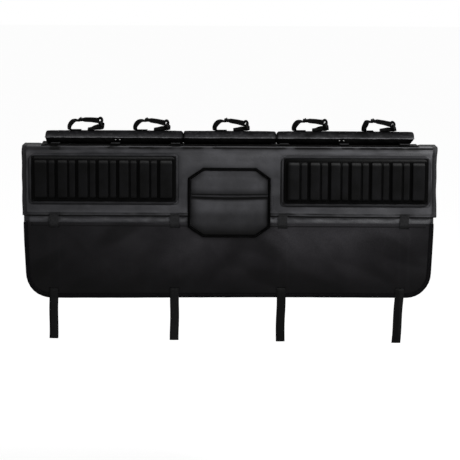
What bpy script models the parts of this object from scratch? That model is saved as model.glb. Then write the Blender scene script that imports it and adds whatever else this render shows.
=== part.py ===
"""Pad that hangs over the tailgate of a pickup and carries bicycles.

Metres, +Z up, +X to the right for someone who stands behind the truck, who looks along +Y.
The origin is the middle of the tailgate's top edge, under the lining.
"""
from math import cos, hypot, pi, radians, sin

import bmesh
import bpy
from mathutils import Matrix, Vector

# Air between two pieces that touch
CLEAR = 0.0003

# The tailgate that it hangs over
TAILGATE_T = 0.090
EDGE_R = 0.012
ARC_STEPS = 6

# Layers, from the tailgate outwards
LINING_T = 0.0015
SHELL_T = 0.0060
SKIN_T = 0.0040
APRON_T = 0.0021
STRAP_T = 0.0016
BAND_T = 0.0020
BIND_T = 0.0010
BIND_W = 0.014
HEM_T = 0.0010

# Outline seen from the front; drops are measured down from the top fold,
# and insets from the side of the outer panel
PANEL_HALF = 0.7232
PANEL_DROP = 0.243
PANEL_HEM = 0.013
PANEL_WRAP = 0.020
APRON_INSET = 0.0064
APRON_TAPER = 0.0062
APRON_HALF_TOP = PANEL_HALF - APRON_INSET
APRON_HALF_LOW = APRON_HALF_TOP - APRON_TAPER
BAND_H = 0.024
APRON_TOP = PANEL_DROP + BAND_H
APRON_DROP = 0.529
APRON_R = 0.087
APRON_HEM = 0.012
SHELL_INSET = 0.0332
SHELL_HALF = PANEL_HALF - SHELL_INSET
SHELL_RISE = 0.016
SHELL_DROP = APRON_DROP - SHELL_RISE
SHELL_R = 0.073
SHELL_SHORT = 0.020
INNER_TOP = 0.036
INNER_DROP = 0.312
INNER_INSET = 0.0017
INNER_HALF = PANEL_HALF - INNER_INSET
INNER_R = 0.040

# Window with its two flaps
WINDOW_W = 0.286
WINDOW_TOP = 0.074
WINDOW_H = 0.244
WINDOW_CUT_X = 0.050
WINDOW_CUT_Z = 0.036
WINDOW_BAR = 0.009
WINDOW_PROUD = 0.0030
FLAP_REST = 0.014
FLAP_T = 0.0024
FLAP_JOIN = 0.158
FLAP_LIP = 0.178
FLAP_HEM = 0.010

# Moulded bumpers, which fill the panel between its sides and the window
BUMPER_INSET = 0.0332
BUMPER_AWAY = 0.047
BUMPER_W = PANEL_HALF - BUMPER_INSET - WINDOW_W / 2 - BUMPER_AWAY
BUMPER_X = WINDOW_W / 2 + BUMPER_AWAY + BUMPER_W / 2
BUMPER_TOP = 0.0355
BUMPER_FOOT = 0.0385
BUMPER_LOWER = 0.0050
BUMPER_H = PANEL_DROP - PANEL_HEM - BUMPER_FOOT - BUMPER_TOP
BUMPER_R = 0.014
BUMPER_PLATE = 0.0050
BUMPER_EDGE = 0.0020
RIB_COUNT = 7
RIB_WIDE_SHARE = 0.463
RIB_GROOVE_SHARE = 0.098
RIB_NARROW_SHARE = 0.288
RIB_EDGE = 0.0196
RIB_END = 0.0090
RIB_PITCH = (BUMPER_W - 2 * RIB_EDGE) / (RIB_COUNT - 1 + RIB_WIDE_SHARE)
RIB_WIDE = RIB_PITCH * RIB_WIDE_SHARE
RIB_GROOVE = RIB_PITCH * RIB_GROOVE_SHARE
RIB_NARROW = RIB_PITCH * RIB_NARROW_SHARE
RIB_HIGH = 0.0120
RIB_STEP = 0.0085
RIB_SEAT = 0.0045
RIB_SOFT = 0.0020
RIB_START = 0.0093
RIB_STOP = 0.0062
RIB_TOP = BUMPER_TOP + RIB_START
RIB_LENGTH = BUMPER_H - RIB_START - RIB_STOP
RIB_RAMP_TOP = 0.011
RIB_RAMP_LOW = 0.0062
RIM_W = 0.0105
RIM_T = 0.0045

# Base strip and cushions on the top
BASE_INSET = 0.0632
BASE_HALF = PANEL_HALF - BASE_INSET
BASE_FRONT = -0.037
BASE_REAR = 0.050
BASE_T = 0.0030
CUSHION_FRONT = -0.016
CUSHION_D = 0.064
CUSHION_H = 0.0470
CUSHION_MID = 0.320
CUSHION_GAP = 0.007
CUSHION_INSET = 0.013
CUSHION_SIDE = BASE_HALF - CUSHION_INSET - CUSHION_MID / 2 - CUSHION_GAP
CUSHION_R = 0.011
CUSHION_SEAM = 0.0026
SEAM_T = 0.0026

# Small webbing tabs at the front of the base strip
HEM_TAB_FIRST = 0.190
HEM_TAB_INSET = 0.050
HEM_TAB_LAST = BASE_HALF - HEM_TAB_INSET
HEM_TAB_X = (HEM_TAB_FIRST, (HEM_TAB_FIRST + HEM_TAB_LAST) / 2, HEM_TAB_LAST)
HEM_TAB_W = 0.032
HEM_TAB_T = 0.0020
HEM_TAB_REACH = 0.016

# Tension straps with their buckles; the outer ones are placed from the panel's side
# and the inner ones from the window, at their top and bottom ends
STRAP_W = 0.0315
STRAP_TOP_AWAY = (0.1092, 0.048, 0.044, 0.1095)
STRAP_LOW_AWAY = (0.1045, 0.050, 0.0377, 0.1332)
STRAP_HANG = (0.1515, 0.156, 0.159, 0.1625)
STRAP_TOP_X, STRAP_LOW_X = (
    (away[0] - PANEL_HALF, -WINDOW_W / 2 - away[1], WINDOW_W / 2 + away[2], PANEL_HALF - away[3])
    for away in (STRAP_TOP_AWAY, STRAP_LOW_AWAY)
)
STRAP_END = tuple(APRON_DROP + hang for hang in STRAP_HANG)
STRAP_LAP = 0.007
STRAP_DROP = PANEL_DROP - STRAP_LAP
STRAP_MARGIN = 0.0130
STRAP_MARGIN_LOW = 0.028
STRAP_IN = APRON_TOP + STRAP_MARGIN
STRAP_OUT = APRON_DROP - STRAP_MARGIN_LOW
STRAP_FOLD = 0.024
SLIT_H = 0.014
BUCKLE_W = 0.041
BUCKLE_H = 0.036
BUCKLE_T = 0.0030
BUCKLE_BAR = 0.0030
BUCKLE_HANG = 0.017
BUCKLE_TAB_SEWN = 0.040

# Bike straps: webbing, hook, ring and anchor tab
LOOP_INNER = 0.275
LOOP_INSET = 0.150
LOOP_OUTER = BASE_HALF - LOOP_INSET
LOOP_X = (-LOOP_OUTER, -LOOP_INNER, 0.0, LOOP_INNER, LOOP_OUTER)
LOOP_TILT = (0.5, 6.0, 6.5, 3.0, 7.0)
LOOP_LEAN = (0.006, -0.001, -0.002, 0.0, 0.001)
WEB_W = 0.025
WEB_T = 0.0034
TAB_T = 0.0022
HOOK_UP = 0.0362
HOOK_BACK = 0.017
HOOK_REACH = 0.072
HOOK_BAR = 0.0095
HOOK_W = 0.014
HEAD_T = 0.0050
HEAD_BAR = 0.0044
HEAD_SIDE = 0.0036
SLOT_CLEAR = 0.0010
EYE_R = 0.0095
EYE_HOLE = 0.0052
RING_WIRE = 0.0035
RING_LENGTH = 0.0165
RING_LEAN = 15.0

# Faces of the layers, worked out from the values above
LINING_MID = LINING_T / 2
SHELL_IN = LINING_T + CLEAR
SHELL_OUT = SHELL_IN + SHELL_T
SKIN_IN = SHELL_OUT + CLEAR
SKIN_OUT = SKIN_IN + SKIN_T
APRON_IN = SKIN_IN + STRAP_T + CLEAR
APRON_OUT = APRON_IN + APRON_T
FRONT = TAILGATE_T / 2
FOLD_Z = SKIN_OUT
STRAP_FACE = SKIN_OUT + CLEAR + max(BIND_T, HEM_T) + CLEAR
BASE_Z = SKIN_OUT + CLEAR
CUSHION_Z = BASE_Z + BASE_T + CLEAR
CUSHION_TOP = CUSHION_Z + CUSHION_H
CUSHION_Y = CUSHION_FRONT + CUSHION_D / 2

# Start from an empty scene with one collection for the parts and one for the cutters
for old in list(bpy.data.objects):
    bpy.data.objects.remove(old, do_unlink=True)

parts = bpy.data.collections.new("tailgate_bike_pad")
cutters = bpy.data.collections.new("cutters")
bpy.context.scene.collection.children.link(parts)
bpy.context.scene.collection.children.link(cutters)


def finish(name, colour, roughness, metallic=0.0):
    """Principled material with a linear colour."""
    material = bpy.data.materials.new(name)
    material.use_nodes = True
    shader = material.node_tree.nodes["Principled BSDF"]
    shader.inputs["Base Color"].default_value = (*colour, 1.0)
    shader.inputs["Roughness"].default_value = roughness
    shader.inputs["Metallic"].default_value = metallic
    material.diffuse_color = (*colour, 1.0)
    return material


coated = finish("coated_fabric", (0.040, 0.040, 0.042), 0.50)
satin = finish("apron_fabric", (0.013, 0.012, 0.013), 0.45)
fleece = finish("fleece_lining", (0.030, 0.030, 0.032), 0.95)
foam = finish("padded_shell", (0.038, 0.038, 0.040), 0.55)
trim = finish("binding_tape", (0.012, 0.012, 0.012), 0.70)
webbing = finish("webbing", (0.010, 0.010, 0.010), 0.65)
moulded = finish("moulded_foam", (0.008, 0.008, 0.008), 0.60)
nylon = finish("nylon", (0.006, 0.006, 0.006), 0.35)
steel = finish("black_steel", (0.020, 0.020, 0.020), 0.35, 0.6)


def front_z(drop):
    """Height of a point that lies so far below the top fold."""
    return FOLD_Z - drop


def new_object(name, mesh, material, folder=parts):
    made = bpy.data.objects.new(name, mesh)
    folder.objects.link(made)
    if material:
        mesh.materials.append(material)
    return made


def from_bmesh(name, bm, material, folder=parts, smooth=None):
    bmesh.ops.recalc_face_normals(bm, faces=bm.faces[:])
    mesh = bpy.data.meshes.new(name)
    bm.to_mesh(mesh)
    bm.free()
    made = new_object(name, mesh, material, folder)
    if smooth:
        mesh.shade_smooth()
        mesh.set_sharp_from_angle(angle=radians(smooth))
    if folder is cutters:
        made.hide_render = True
        made.display_type = "WIRE"
    return made


def boolean(target, cutter, how="DIFFERENCE"):
    change = target.modifiers.new(cutter.name, "BOOLEAN")
    change.operation = how
    change.solver = "EXACT"
    change.object = cutter
    return change


def mesh_of(curve):
    """Closed mesh of a filled curve, with its caps welded on."""
    graph = bpy.context.evaluated_depsgraph_get()
    mesh = bpy.data.meshes.new_from_object(curve.evaluated_get(graph))
    bm = bmesh.new()
    bm.from_mesh(mesh)
    bmesh.ops.remove_doubles(bm, verts=bm.verts[:], dist=0.00001)
    bmesh.ops.transform(bm, matrix=curve.matrix_world, verts=bm.verts[:])
    bpy.data.meshes.remove(mesh)
    bpy.data.objects.remove(curve, do_unlink=True)
    return bm


# Lines in a plane


def arc(centre, radius, start, stop, steps):
    """Points on a circle from one angle to another, in degrees."""
    angles = [radians(start + (stop - start) * i / steps) for i in range(steps + 1)]
    return [(centre[0] + radius * cos(a), centre[1] + radius * sin(a)) for a in angles]


def smooth_line(points, per_span):
    """Line through the points, without corners."""
    padded = [points[0]] + list(points) + [points[-1]]
    line = []
    for i in range(1, len(padded) - 2):
        p0, p1, p2, p3 = padded[i - 1 : i + 3]
        for k in range(per_span):
            t = k / per_span
            line.append(
                tuple(
                    0.5 * (2 * b + (c - a) * t + (2 * a - 5 * b + 4 * c - d) * t**2
                           + (3 * b - a - 3 * c + d) * t**3)
                    for a, b, c, d in zip(p0, p1, p2, p3)
                )
            )
    line.append(tuple(points[-1]))
    return line


def normals_of(line, closed):
    """Mitre vectors, which move each point so that its edges shift by one."""
    count = len(line)
    found = []
    for i in range(count):
        edges = []
        for a, b in ((i - 1, i), (i, i + 1)):
            if closed or 0 <= a and b < count:
                p, q = line[a % count], line[b % count]
                long = hypot(q[0] - p[0], q[1] - p[1])
                edges.append(((q[1] - p[1]) / long, (p[0] - q[0]) / long))
        n = (sum(e[0] for e in edges) / len(edges), sum(e[1] for e in edges) / len(edges))
        size = n[0] ** 2 + n[1] ** 2
        found.append((n[0] / size, n[1] / size))
    return found


def grown(outline, by):
    """Closed outline with each side moved outwards; it runs anticlockwise."""
    return [
        (p[0] + n[0] * by, p[1] + n[1] * by)
        for p, n in zip(outline, normals_of(outline, True))
    ]


def rounded_box(width, height, radius, steps, centre=(0.0, 0.0)):
    """Rectangle with round corners, anticlockwise."""
    a, b = width / 2 - radius, height / 2 - radius
    line = []
    for k, (sx, sz) in enumerate(((1, 1), (-1, 1), (-1, -1), (1, -1))):
        corner = (centre[0] + sx * a, centre[1] + sz * b)
        line += arc(corner, radius, 90 * k, 90 * k + 90, steps)
    return line


# Ways to place a line's plane in space: (a, b) in the plane and w across it


def in_front(a, b, w):
    """The front plane: a to the right, b up, w away from the tailgate."""
    return Vector((a, -FRONT - w, b))


def across(a, b, w):
    """The section plane: a to the back, b up, w to the right."""
    return Vector((w, a, b))


def upright(a, b, w):
    """The plane of a bike strap: a to the right, b up, w to the back."""
    return Vector((a, w, b))


def sweep(line, section, place, closed=False):
    """Solid of a section that follows a line; a section point is (across the line, w)."""
    bm = bmesh.new()
    rows = []
    for p, n in zip(line, normals_of(line, closed)):
        rows.append([
            bm.verts.new(place(p[0] + n[0] * s, p[1] + n[1] * s, w)) for s, w in section
        ])
    size = len(section)
    for i in range(len(rows) if closed else len(rows) - 1):
        here, there = rows[i], rows[(i + 1) % len(rows)]
        for k in range(size):
            j = (k + 1) % size
            bm.faces.new((here[k], here[j], there[j], there[k]))
    if not closed:
        bm.faces.new(rows[0])
        bm.faces.new(rows[-1])
    return bm


def ribbon(name, line, half, thick, place, material, stations=(-1, 1), slant=0.0):
    """Strip of fabric or webbing: an open surface along a line, given its thickness."""
    bm = bmesh.new()
    top = line[0][1]
    rows = []
    for p in line:
        shift = slant * (top - p[1])
        rows.append([bm.verts.new(place(p[0], p[1], s * half + shift)) for s in stations])
    for here, there in zip(rows, rows[1:]):
        for k in range(len(stations) - 1):
            bm.faces.new((here[k], here[k + 1], there[k + 1], there[k]))
    made = from_bmesh(name, bm, material, smooth=50)
    solid = made.modifiers.new("thickness", "SOLIDIFY")
    solid.thickness = thick
    solid.offset = 0.0
    solid.use_even_offset = True
    return made


def prism(name, outline, near, far, place, material, folder=parts):
    """Flat piece between two distances, from its outline."""
    bm = bmesh.new()
    face = bm.faces.new([bm.verts.new(place(a, b, near)) for a, b in outline])
    made = bmesh.ops.extrude_face_region(bm, geom=[face])
    moved = [v for v in made["geom"] if isinstance(v, bmesh.types.BMVert)]
    step = place(0, 0, far) - place(0, 0, near)
    bmesh.ops.translate(bm, vec=step, verts=moved)
    return from_bmesh(name, bm, material, folder)


def box(name, low, high, material, folder=parts, bevel=0.0, segments=2):
    bm = bmesh.new()
    bmesh.ops.create_cube(bm, size=1.0)
    size = Vector(high) - Vector(low)
    bmesh.ops.scale(bm, vec=size, verts=bm.verts[:])
    bmesh.ops.translate(bm, vec=(Vector(high) + Vector(low)) / 2, verts=bm.verts[:])
    made = from_bmesh(name, bm, material, folder)
    if bevel:
        edge = made.modifiers.new("edges", "BEVEL")
        edge.width = bevel
        edge.segments = segments
        edge.limit_method = "ANGLE"
    return made


def saddle(offset, front, rear, start=None):
    """Line over the tailgate at a distance from it, from the front hem to the rear one."""
    half = FRONT + offset
    radius = EDGE_R + offset
    line = [(-half, front)]
    line += arc((radius - half, offset - radius), radius, 180, 90, ARC_STEPS)
    line += arc((half - radius, offset - radius), radius, 90, 0, ARC_STEPS)
    return line + [(half, rear)]


def octagon(by=0.0):
    """Outline of the window in the front plane, grown by a distance."""
    w, h = WINDOW_W / 2, WINDOW_H / 2
    cut_x, cut_z = WINDOW_CUT_X, WINDOW_CUT_Z
    z = front_z(WINDOW_TOP + h)
    quarter = [(w, h - cut_z), (w - cut_x, h)]
    line = quarter + [(-a, b) for a, b in reversed(quarter)]
    line += [(-a, -b) for a, b in line]
    return grown([(a, b + z) for a, b in line], by)


# Lining, padded shell and outer panel, each folded over the tailgate

rear_low = front_z(INNER_DROP)
shell_rear = rear_low + SHELL_SHORT
lining = ribbon(
    "lining", saddle(LINING_MID, front_z(SHELL_DROP), shell_rear), SHELL_HALF, LINING_T,
    across, fleece, (-1, -0.36, 0.44, 1),
)
shell = ribbon(
    "pad_shell", saddle(SHELL_IN + SHELL_T / 2, front_z(SHELL_DROP), shell_rear),
    SHELL_HALF, SHELL_T, across, foam,
)
skin_mid = SKIN_IN + SKIN_T / 2
panel_line = saddle(skin_mid, front_z(PANEL_DROP), front_z(PANEL_WRAP + EDGE_R))
outer_panel = ribbon("outer_panel", panel_line, PANEL_HALF, SKIN_T, across, coated)

# The fabric doubles over at the lower hem
panel_hem = box(
    "panel_hem",
    (-PANEL_HALF + BIND_W + CLEAR, -FRONT - SKIN_OUT - HEM_T, front_z(PANEL_DROP)),
    (PANEL_HALF - BIND_W - CLEAR, -FRONT - SKIN_IN - SKIN_T / 2,
     front_z(PANEL_DROP - PANEL_HEM)),
    coated, cutters,
)
boolean(outer_panel, panel_hem, "UNION")

# Opening in the shell behind the flaps, and the notch round the window's binding
hole = prism(
    "window_hole", octagon(-WINDOW_BAR - FLAP_REST), -0.01, SKIN_OUT, in_front, None, cutters
)
corner = (SHELL_HALF - SHELL_R, front_z(SHELL_DROP) + SHELL_R)
corner_line = arc(corner, SHELL_R, 0, -90, 8)
beyond = (SHELL_HALF + SHELL_R / 2, front_z(SHELL_DROP) - SHELL_R / 2)
corner_line += [(corner[0], beyond[1]), beyond, (beyond[0], corner[1])]
for part in (lining, shell):
    boolean(part, hole)
    for side in (-1, 1):
        tool = prism(
            f"{part.name}_corner_{side}", [(side * a, b) for a, b in corner_line],
            -0.01, SKIN_OUT, in_front, None, cutters,
        )
        boolean(part, tool)
notch = prism(
    "window_notch", octagon(CLEAR), 0.0, STRAP_FACE * 2, in_front, None, cutters
)
boolean(outer_panel, notch)


def channel(name, line, middle, thick, place):
    """Binding tape folded round an edge: a C that follows the edge."""
    near, far = thick / 2 + CLEAR, thick / 2 + CLEAR + BIND_T
    back, tip = -BIND_W, CLEAR + BIND_T
    section = [
        (back, middle + far), (tip, middle + far), (tip, middle - far), (back, middle - far),
        (back, middle - near), (CLEAR, middle - near), (CLEAR, middle + near),
        (back, middle + near),
    ]
    return from_bmesh(name, sweep(line, section, place), trim)


def edge_tape(name, side):
    """Binding along a side of the outer panel, over the fold."""
    near, far = SKIN_T / 2 + CLEAR, SKIN_T / 2 + CLEAR + BIND_T
    back, inner, tip = PANEL_HALF - BIND_W, PANEL_HALF + CLEAR, PANEL_HALF + CLEAR + BIND_T
    section = [
        (far, back), (far, tip), (-far, tip), (-far, back),
        (-near, back), (-near, inner), (near, inner), (near, back),
    ]
    section = [(s, side * w) for s, w in section]
    return from_bmesh(name, sweep(panel_line, section, across), trim)


edge_tape("side_binding_left", -1)
edge_tape("side_binding_right", 1)

# Band between the panel's hem and the apron

band_z = (front_z(APRON_TOP) + CLEAR, front_z(PANEL_DROP) - CLEAR)
band_x = (WINDOW_W / 2 + CLEAR, APRON_HALF_TOP)
for side, ends in (("left", (-band_x[1], -band_x[0])), ("right", band_x)):
    box(
        "joining_band_" + side, (ends[0], -FRONT - SKIN_IN - BAND_T, band_z[0]),
        (ends[1], -FRONT - SKIN_IN, band_z[1]), coated,
    )

# Apron below the panel

apron_low = front_z(APRON_DROP)
apron_high = front_z(APRON_TOP)
apron_side = [(APRON_HALF_TOP, apron_high), (APRON_HALF_TOP, apron_high - BIND_W)]
apron_side += arc((APRON_HALF_LOW - APRON_R, apron_low + APRON_R), APRON_R, 0, -90, 8)
apron_line = [(-a, b) for a, b in apron_side] + list(reversed(apron_side))
apron = prism("apron", apron_line, APRON_IN, APRON_OUT, in_front, satin)
apron_hem = box(
    "apron_hem",
    (-APRON_HALF_TOP + 2 * BIND_W, -FRONT - APRON_OUT - HEM_T, apron_high - APRON_HEM),
    (APRON_HALF_TOP - 2 * BIND_W, -FRONT - APRON_IN - APRON_T / 4, apron_high),
    satin, cutters,
)
boolean(apron, apron_hem, "UNION")
boolean(apron, notch)
channel("apron_binding", apron_line, (APRON_IN + APRON_OUT) / 2, APRON_T, in_front)

# Panel on the bed side, which continues the outer panel below its rear hem


def at_back(a, b, w):
    """The rear plane: a to the right, b up, w away from the tailgate."""
    return Vector((a, FRONT + w, b))


inner_side = [(INNER_HALF, front_z(INNER_TOP))]
inner_side += arc((INNER_HALF - INNER_R, rear_low + INNER_R), INNER_R, 0, -90, 5)
inner_line = [(-a, b) for a, b in inner_side] + list(reversed(inner_side))
prism("inner_panel", inner_line, SKIN_IN, SKIN_OUT, at_back, coated)
channel("inner_binding", inner_line, skin_mid, SKIN_T, at_back)

# Window: a bound edge that stands on the shell, and two flaps inside it

window_ring = prism(
    "window_binding", octagon(), SKIN_IN, SKIN_OUT + WINDOW_PROUD, in_front, trim
)
inside = prism(
    "window_inside", octagon(-WINDOW_BAR), 0.0, STRAP_FACE * 2, in_front, None, cutters
)
boolean(window_ring, inside)
ring_edge = window_ring.modifiers.new("edges", "BEVEL")
ring_edge.width = 0.0012
ring_edge.segments = 2
ring_edge.limit_method = "ANGLE"

flap_room = prism(
    "flap_room", octagon(-WINDOW_BAR - CLEAR), 0.0, STRAP_FACE * 2, in_front, None, cutters
)


def flap(name, profile):
    """Flap from its section, (drop, distance from the shell), trimmed to the window."""
    line = [(-FRONT - SKIN_IN - out, front_z(drop)) for drop, out in profile]
    made = prism(name, line, -WINDOW_W / 2, WINDOW_W / 2, across, coated)
    boolean(made, flap_room, "INTERSECT")
    return made


lip_in = FLAP_T + CLEAR
lip_out = lip_in + FLAP_T
flap("upper_flap", [
    (WINDOW_TOP, 0.0), (FLAP_JOIN, 0.0), (FLAP_JOIN, lip_in), (FLAP_LIP, lip_in),
    (FLAP_LIP, lip_out + HEM_T), (FLAP_LIP - FLAP_HEM, lip_out + HEM_T),
    (FLAP_LIP - FLAP_HEM, lip_out), (FLAP_JOIN, lip_out), (WINDOW_TOP, SKIN_T),
])
flap("lower_flap", [
    (FLAP_JOIN + CLEAR, 0.0), (WINDOW_TOP + WINDOW_H, 0.0),
    (WINDOW_TOP + WINDOW_H, FLAP_T), (FLAP_JOIN + CLEAR, FLAP_T),
])

# Moulded bumpers: a plate and stepped ribs whose ends run out in ramps


def rib_profile():
    """Heights of the ribs across the bumper: wide, groove, narrow step, deep gap."""
    first = -((RIB_COUNT - 1) * RIB_PITCH + RIB_WIDE) / 2
    line = []
    for i in range(RIB_COUNT):
        x = first + i * RIB_PITCH
        end = x + RIB_WIDE
        if i == 0:
            x -= RIB_END
        if i == RIB_COUNT - 1:
            end += RIB_END
        line += [(x, 0.0), (x, RIB_HIGH - RIB_SOFT), (x + RIB_SOFT, RIB_HIGH)]
        line += [(end - RIB_SOFT, RIB_HIGH), (end, RIB_HIGH - RIB_SOFT)]
        if i < RIB_COUNT - 1:
            step, stop = end + RIB_GROOVE, end + RIB_GROOVE + RIB_NARROW
            line += [(end, RIB_SEAT), (step, RIB_SEAT), (step, RIB_STEP - RIB_SOFT / 2)]
            line += [(step + RIB_SOFT / 2, RIB_STEP), (stop - RIB_SOFT / 2, RIB_STEP)]
            line += [(stop, RIB_STEP - RIB_SOFT / 2), (stop, 0.0)]
        else:
            line += [(end, 0.0)]
    return line


def bumper(name, centre, lower):
    """One moulding: the ribs are lofted from their profile and joined to the plate."""
    middle = (centre, front_z(lower + BUMPER_TOP + BUMPER_H / 2))
    back = SKIN_OUT + CLEAR
    outline = rounded_box(BUMPER_W, BUMPER_H, BUMPER_R, 4, middle)
    plate = prism(name, outline, back, back + BUMPER_PLATE, in_front, moulded)
    edge = plate.modifiers.new("edges", "BEVEL")
    edge.width = BUMPER_EDGE
    edge.segments = 2
    edge.limit_method = "ANGLE"
    edge.angle_limit = radians(60)

    profile = rib_profile()
    face = back + BUMPER_PLATE
    root = back + BUMPER_PLATE / 2
    start, stop = lower + RIB_TOP, lower + RIB_TOP + RIB_LENGTH
    stages = [
        (start, 0.06), (start + RIB_RAMP_TOP, 1.0), (stop - RIB_RAMP_LOW, 1.0), (stop, 0.06),
    ]
    bm = bmesh.new()
    rows = []
    for drop, share in stages:
        row = [
            bm.verts.new(in_front(centre + x, front_z(drop), face + high * share if high else face))
            for x, high in profile
        ]
        row.append(bm.verts.new(in_front(centre + profile[-1][0], front_z(drop), root)))
        row.append(bm.verts.new(in_front(centre + profile[0][0], front_z(drop), root)))
        rows.append(row)
    for here, there in zip(rows, rows[1:]):
        for k in range(len(here)):
            j = (k + 1) % len(here)
            bm.faces.new((here[k], here[j], there[j], there[k]))
    bm.faces.new(rows[0])
    bm.faces.new(rows[-1])
    ribs = from_bmesh(name + "_ribs", bm, moulded, cutters)
    boolean(plate, ribs, "UNION")

    # Raised fabric rim round the moulding
    lane = RIM_W / 2 + CLEAR
    track = grown(outline, lane)
    half = RIM_W / 2
    section = [
        (-half, back), (half, back), (half, back + RIM_T * 0.45), (half * 0.55, back + RIM_T),
        (-half * 0.35, back + RIM_T), (-half, back + RIM_T * 0.6),
    ]
    rim = sweep(track, section, in_front, closed=True)
    from_bmesh(name.replace("bumper", "bumper_rim"), rim, coated, smooth=50)
    return plate


bumper("bumper_left", -BUMPER_X, 0.0)
bumper("bumper_right", BUMPER_X, BUMPER_LOWER)

# Base strip and cushions

box(
    "base_strip", (-BASE_HALF, BASE_FRONT, BASE_Z), (BASE_HALF, BASE_REAR, BASE_Z + BASE_T),
    webbing, bevel=0.001, segments=1,
)


def cushion(name, centre, length):
    """Stuffed cushion: rounded rings from the base to the crown, with a seam half way."""
    half = CUSHION_H / 2
    rings = [
        (0.0, 0.0125), (0.04, 0.0092), (0.12, 0.0068), (0.30, 0.0038),
        (half / CUSHION_H - SEAM_T / 2 / CUSHION_H, CUSHION_SEAM),
        (half / CUSHION_H - SEAM_T / 3 / CUSHION_H, 0.0),
        (half / CUSHION_H + SEAM_T / 3 / CUSHION_H, 0.0),
        (half / CUSHION_H + SEAM_T / 2 / CUSHION_H, CUSHION_SEAM),
        (0.70, 0.0036), (0.86, 0.0060), (0.96, 0.0098), (1.0, 0.0155),
    ]
    bm = bmesh.new()
    rows = []
    for share, inset in rings:
        outline = rounded_box(
            length - 2 * inset, CUSHION_D - 2 * inset, max(CUSHION_R - inset / 2, 0.003), 4,
            (centre, CUSHION_Y),
        )
        z = CUSHION_Z + CUSHION_H * share
        rows.append([bm.verts.new((x, y, z)) for x, y in outline])
    for here, there in zip(rows, rows[1:]):
        for k in range(len(here)):
            j = (k + 1) % len(here)
            bm.faces.new((here[k], here[j], there[j], there[k]))
    bm.faces.new(rows[0])
    bm.faces.new(rows[-1])
    return from_bmesh(name, bm, coated, smooth=40)


side_x = CUSHION_MID / 2 + CUSHION_GAP + CUSHION_SIDE / 2
cushion("cushion_left", -side_x, CUSHION_SIDE)
cushion("cushion_centre", 0.0, CUSHION_MID)
cushion("cushion_right", side_x, CUSHION_SIDE)

# Webbing tabs that lie on the front of the base strip


def hem_tab(name, x):
    """Folded webbing: two plies and a round nose."""
    low = BASE_Z + BASE_T + CLEAR + HEM_TAB_T / 2
    foot = CUSHION_FRONT + 0.0050
    nose = foot - HEM_TAB_REACH
    radius = HEM_TAB_T / 2 + 0.0012
    line = [(foot, low), (nose, low)]
    line += arc((nose, low + radius), radius, 270, 90, 6)[1:]
    line += [(foot, low + 2 * radius - 0.0006)]

    def place(a, b, w):
        return Vector((x + w, a, b))

    return ribbon(name, line, HEM_TAB_W / 2, HEM_TAB_T, place, webbing)


tab_places = [-x for x in reversed(HEM_TAB_X)] + list(HEM_TAB_X)
for number, x in enumerate(tab_places, 1):
    hem_tab(f"hem_tab_{number}", x)

# Tension straps: sewn to the panel's hem, through the apron and out over its hem


def strap_x(number, drop):
    """Place of a tension strap at a drop, as it slants."""
    share = (drop - STRAP_DROP) / (STRAP_END[number] - STRAP_DROP)
    return STRAP_TOP_X[number] + (STRAP_LOW_X[number] - STRAP_TOP_X[number]) * share


def tension_strap(number):
    outside = -FRONT - STRAP_FACE - STRAP_T / 2
    inside_y = -FRONT - SKIN_IN - STRAP_T / 2
    end = STRAP_END[number]
    turn = STRAP_T / 2 + CLEAR
    line = [
        (outside, front_z(STRAP_DROP)), (outside, front_z(STRAP_IN - SLIT_H / 3)),
        (inside_y, front_z(STRAP_IN + SLIT_H / 3)),
        (inside_y, front_z(STRAP_OUT - SLIT_H / 3)),
        (outside, front_z(STRAP_OUT + SLIT_H / 3)),
        (outside, front_z(end - turn)),
    ]
    line += arc((outside + turn, front_z(end - turn)), turn, 180, 360, 6)[1:]
    line += [(outside + 2 * turn, front_z(end - STRAP_FOLD))]
    start = STRAP_TOP_X[number]
    slant = (STRAP_LOW_X[number] - start) / (end - STRAP_DROP)

    def place(a, b, w):
        return Vector((start + w, a, b))

    name = f"tension_strap_{number + 1}"
    return ribbon(name, line, STRAP_W / 2, STRAP_T, place, webbing, slant=slant)


slits = bmesh.new()
for number in range(len(STRAP_TOP_X)):
    tension_strap(number)
    for drop in (STRAP_IN, STRAP_OUT):
        made = bmesh.ops.create_cube(slits, size=1.0)["verts"]
        size = Vector((STRAP_W + 0.003, 0.02, SLIT_H))
        bmesh.ops.scale(slits, vec=size, verts=made)
        where = Vector((strap_x(number, drop), -FRONT - APRON_OUT, front_z(drop)))
        bmesh.ops.translate(slits, vec=where, verts=made)
slit_tool = from_bmesh("strap_slits", slits, None, cutters)
boolean(apron, slit_tool)

# Buckles on the bed side, each held by a folded tab


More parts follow.
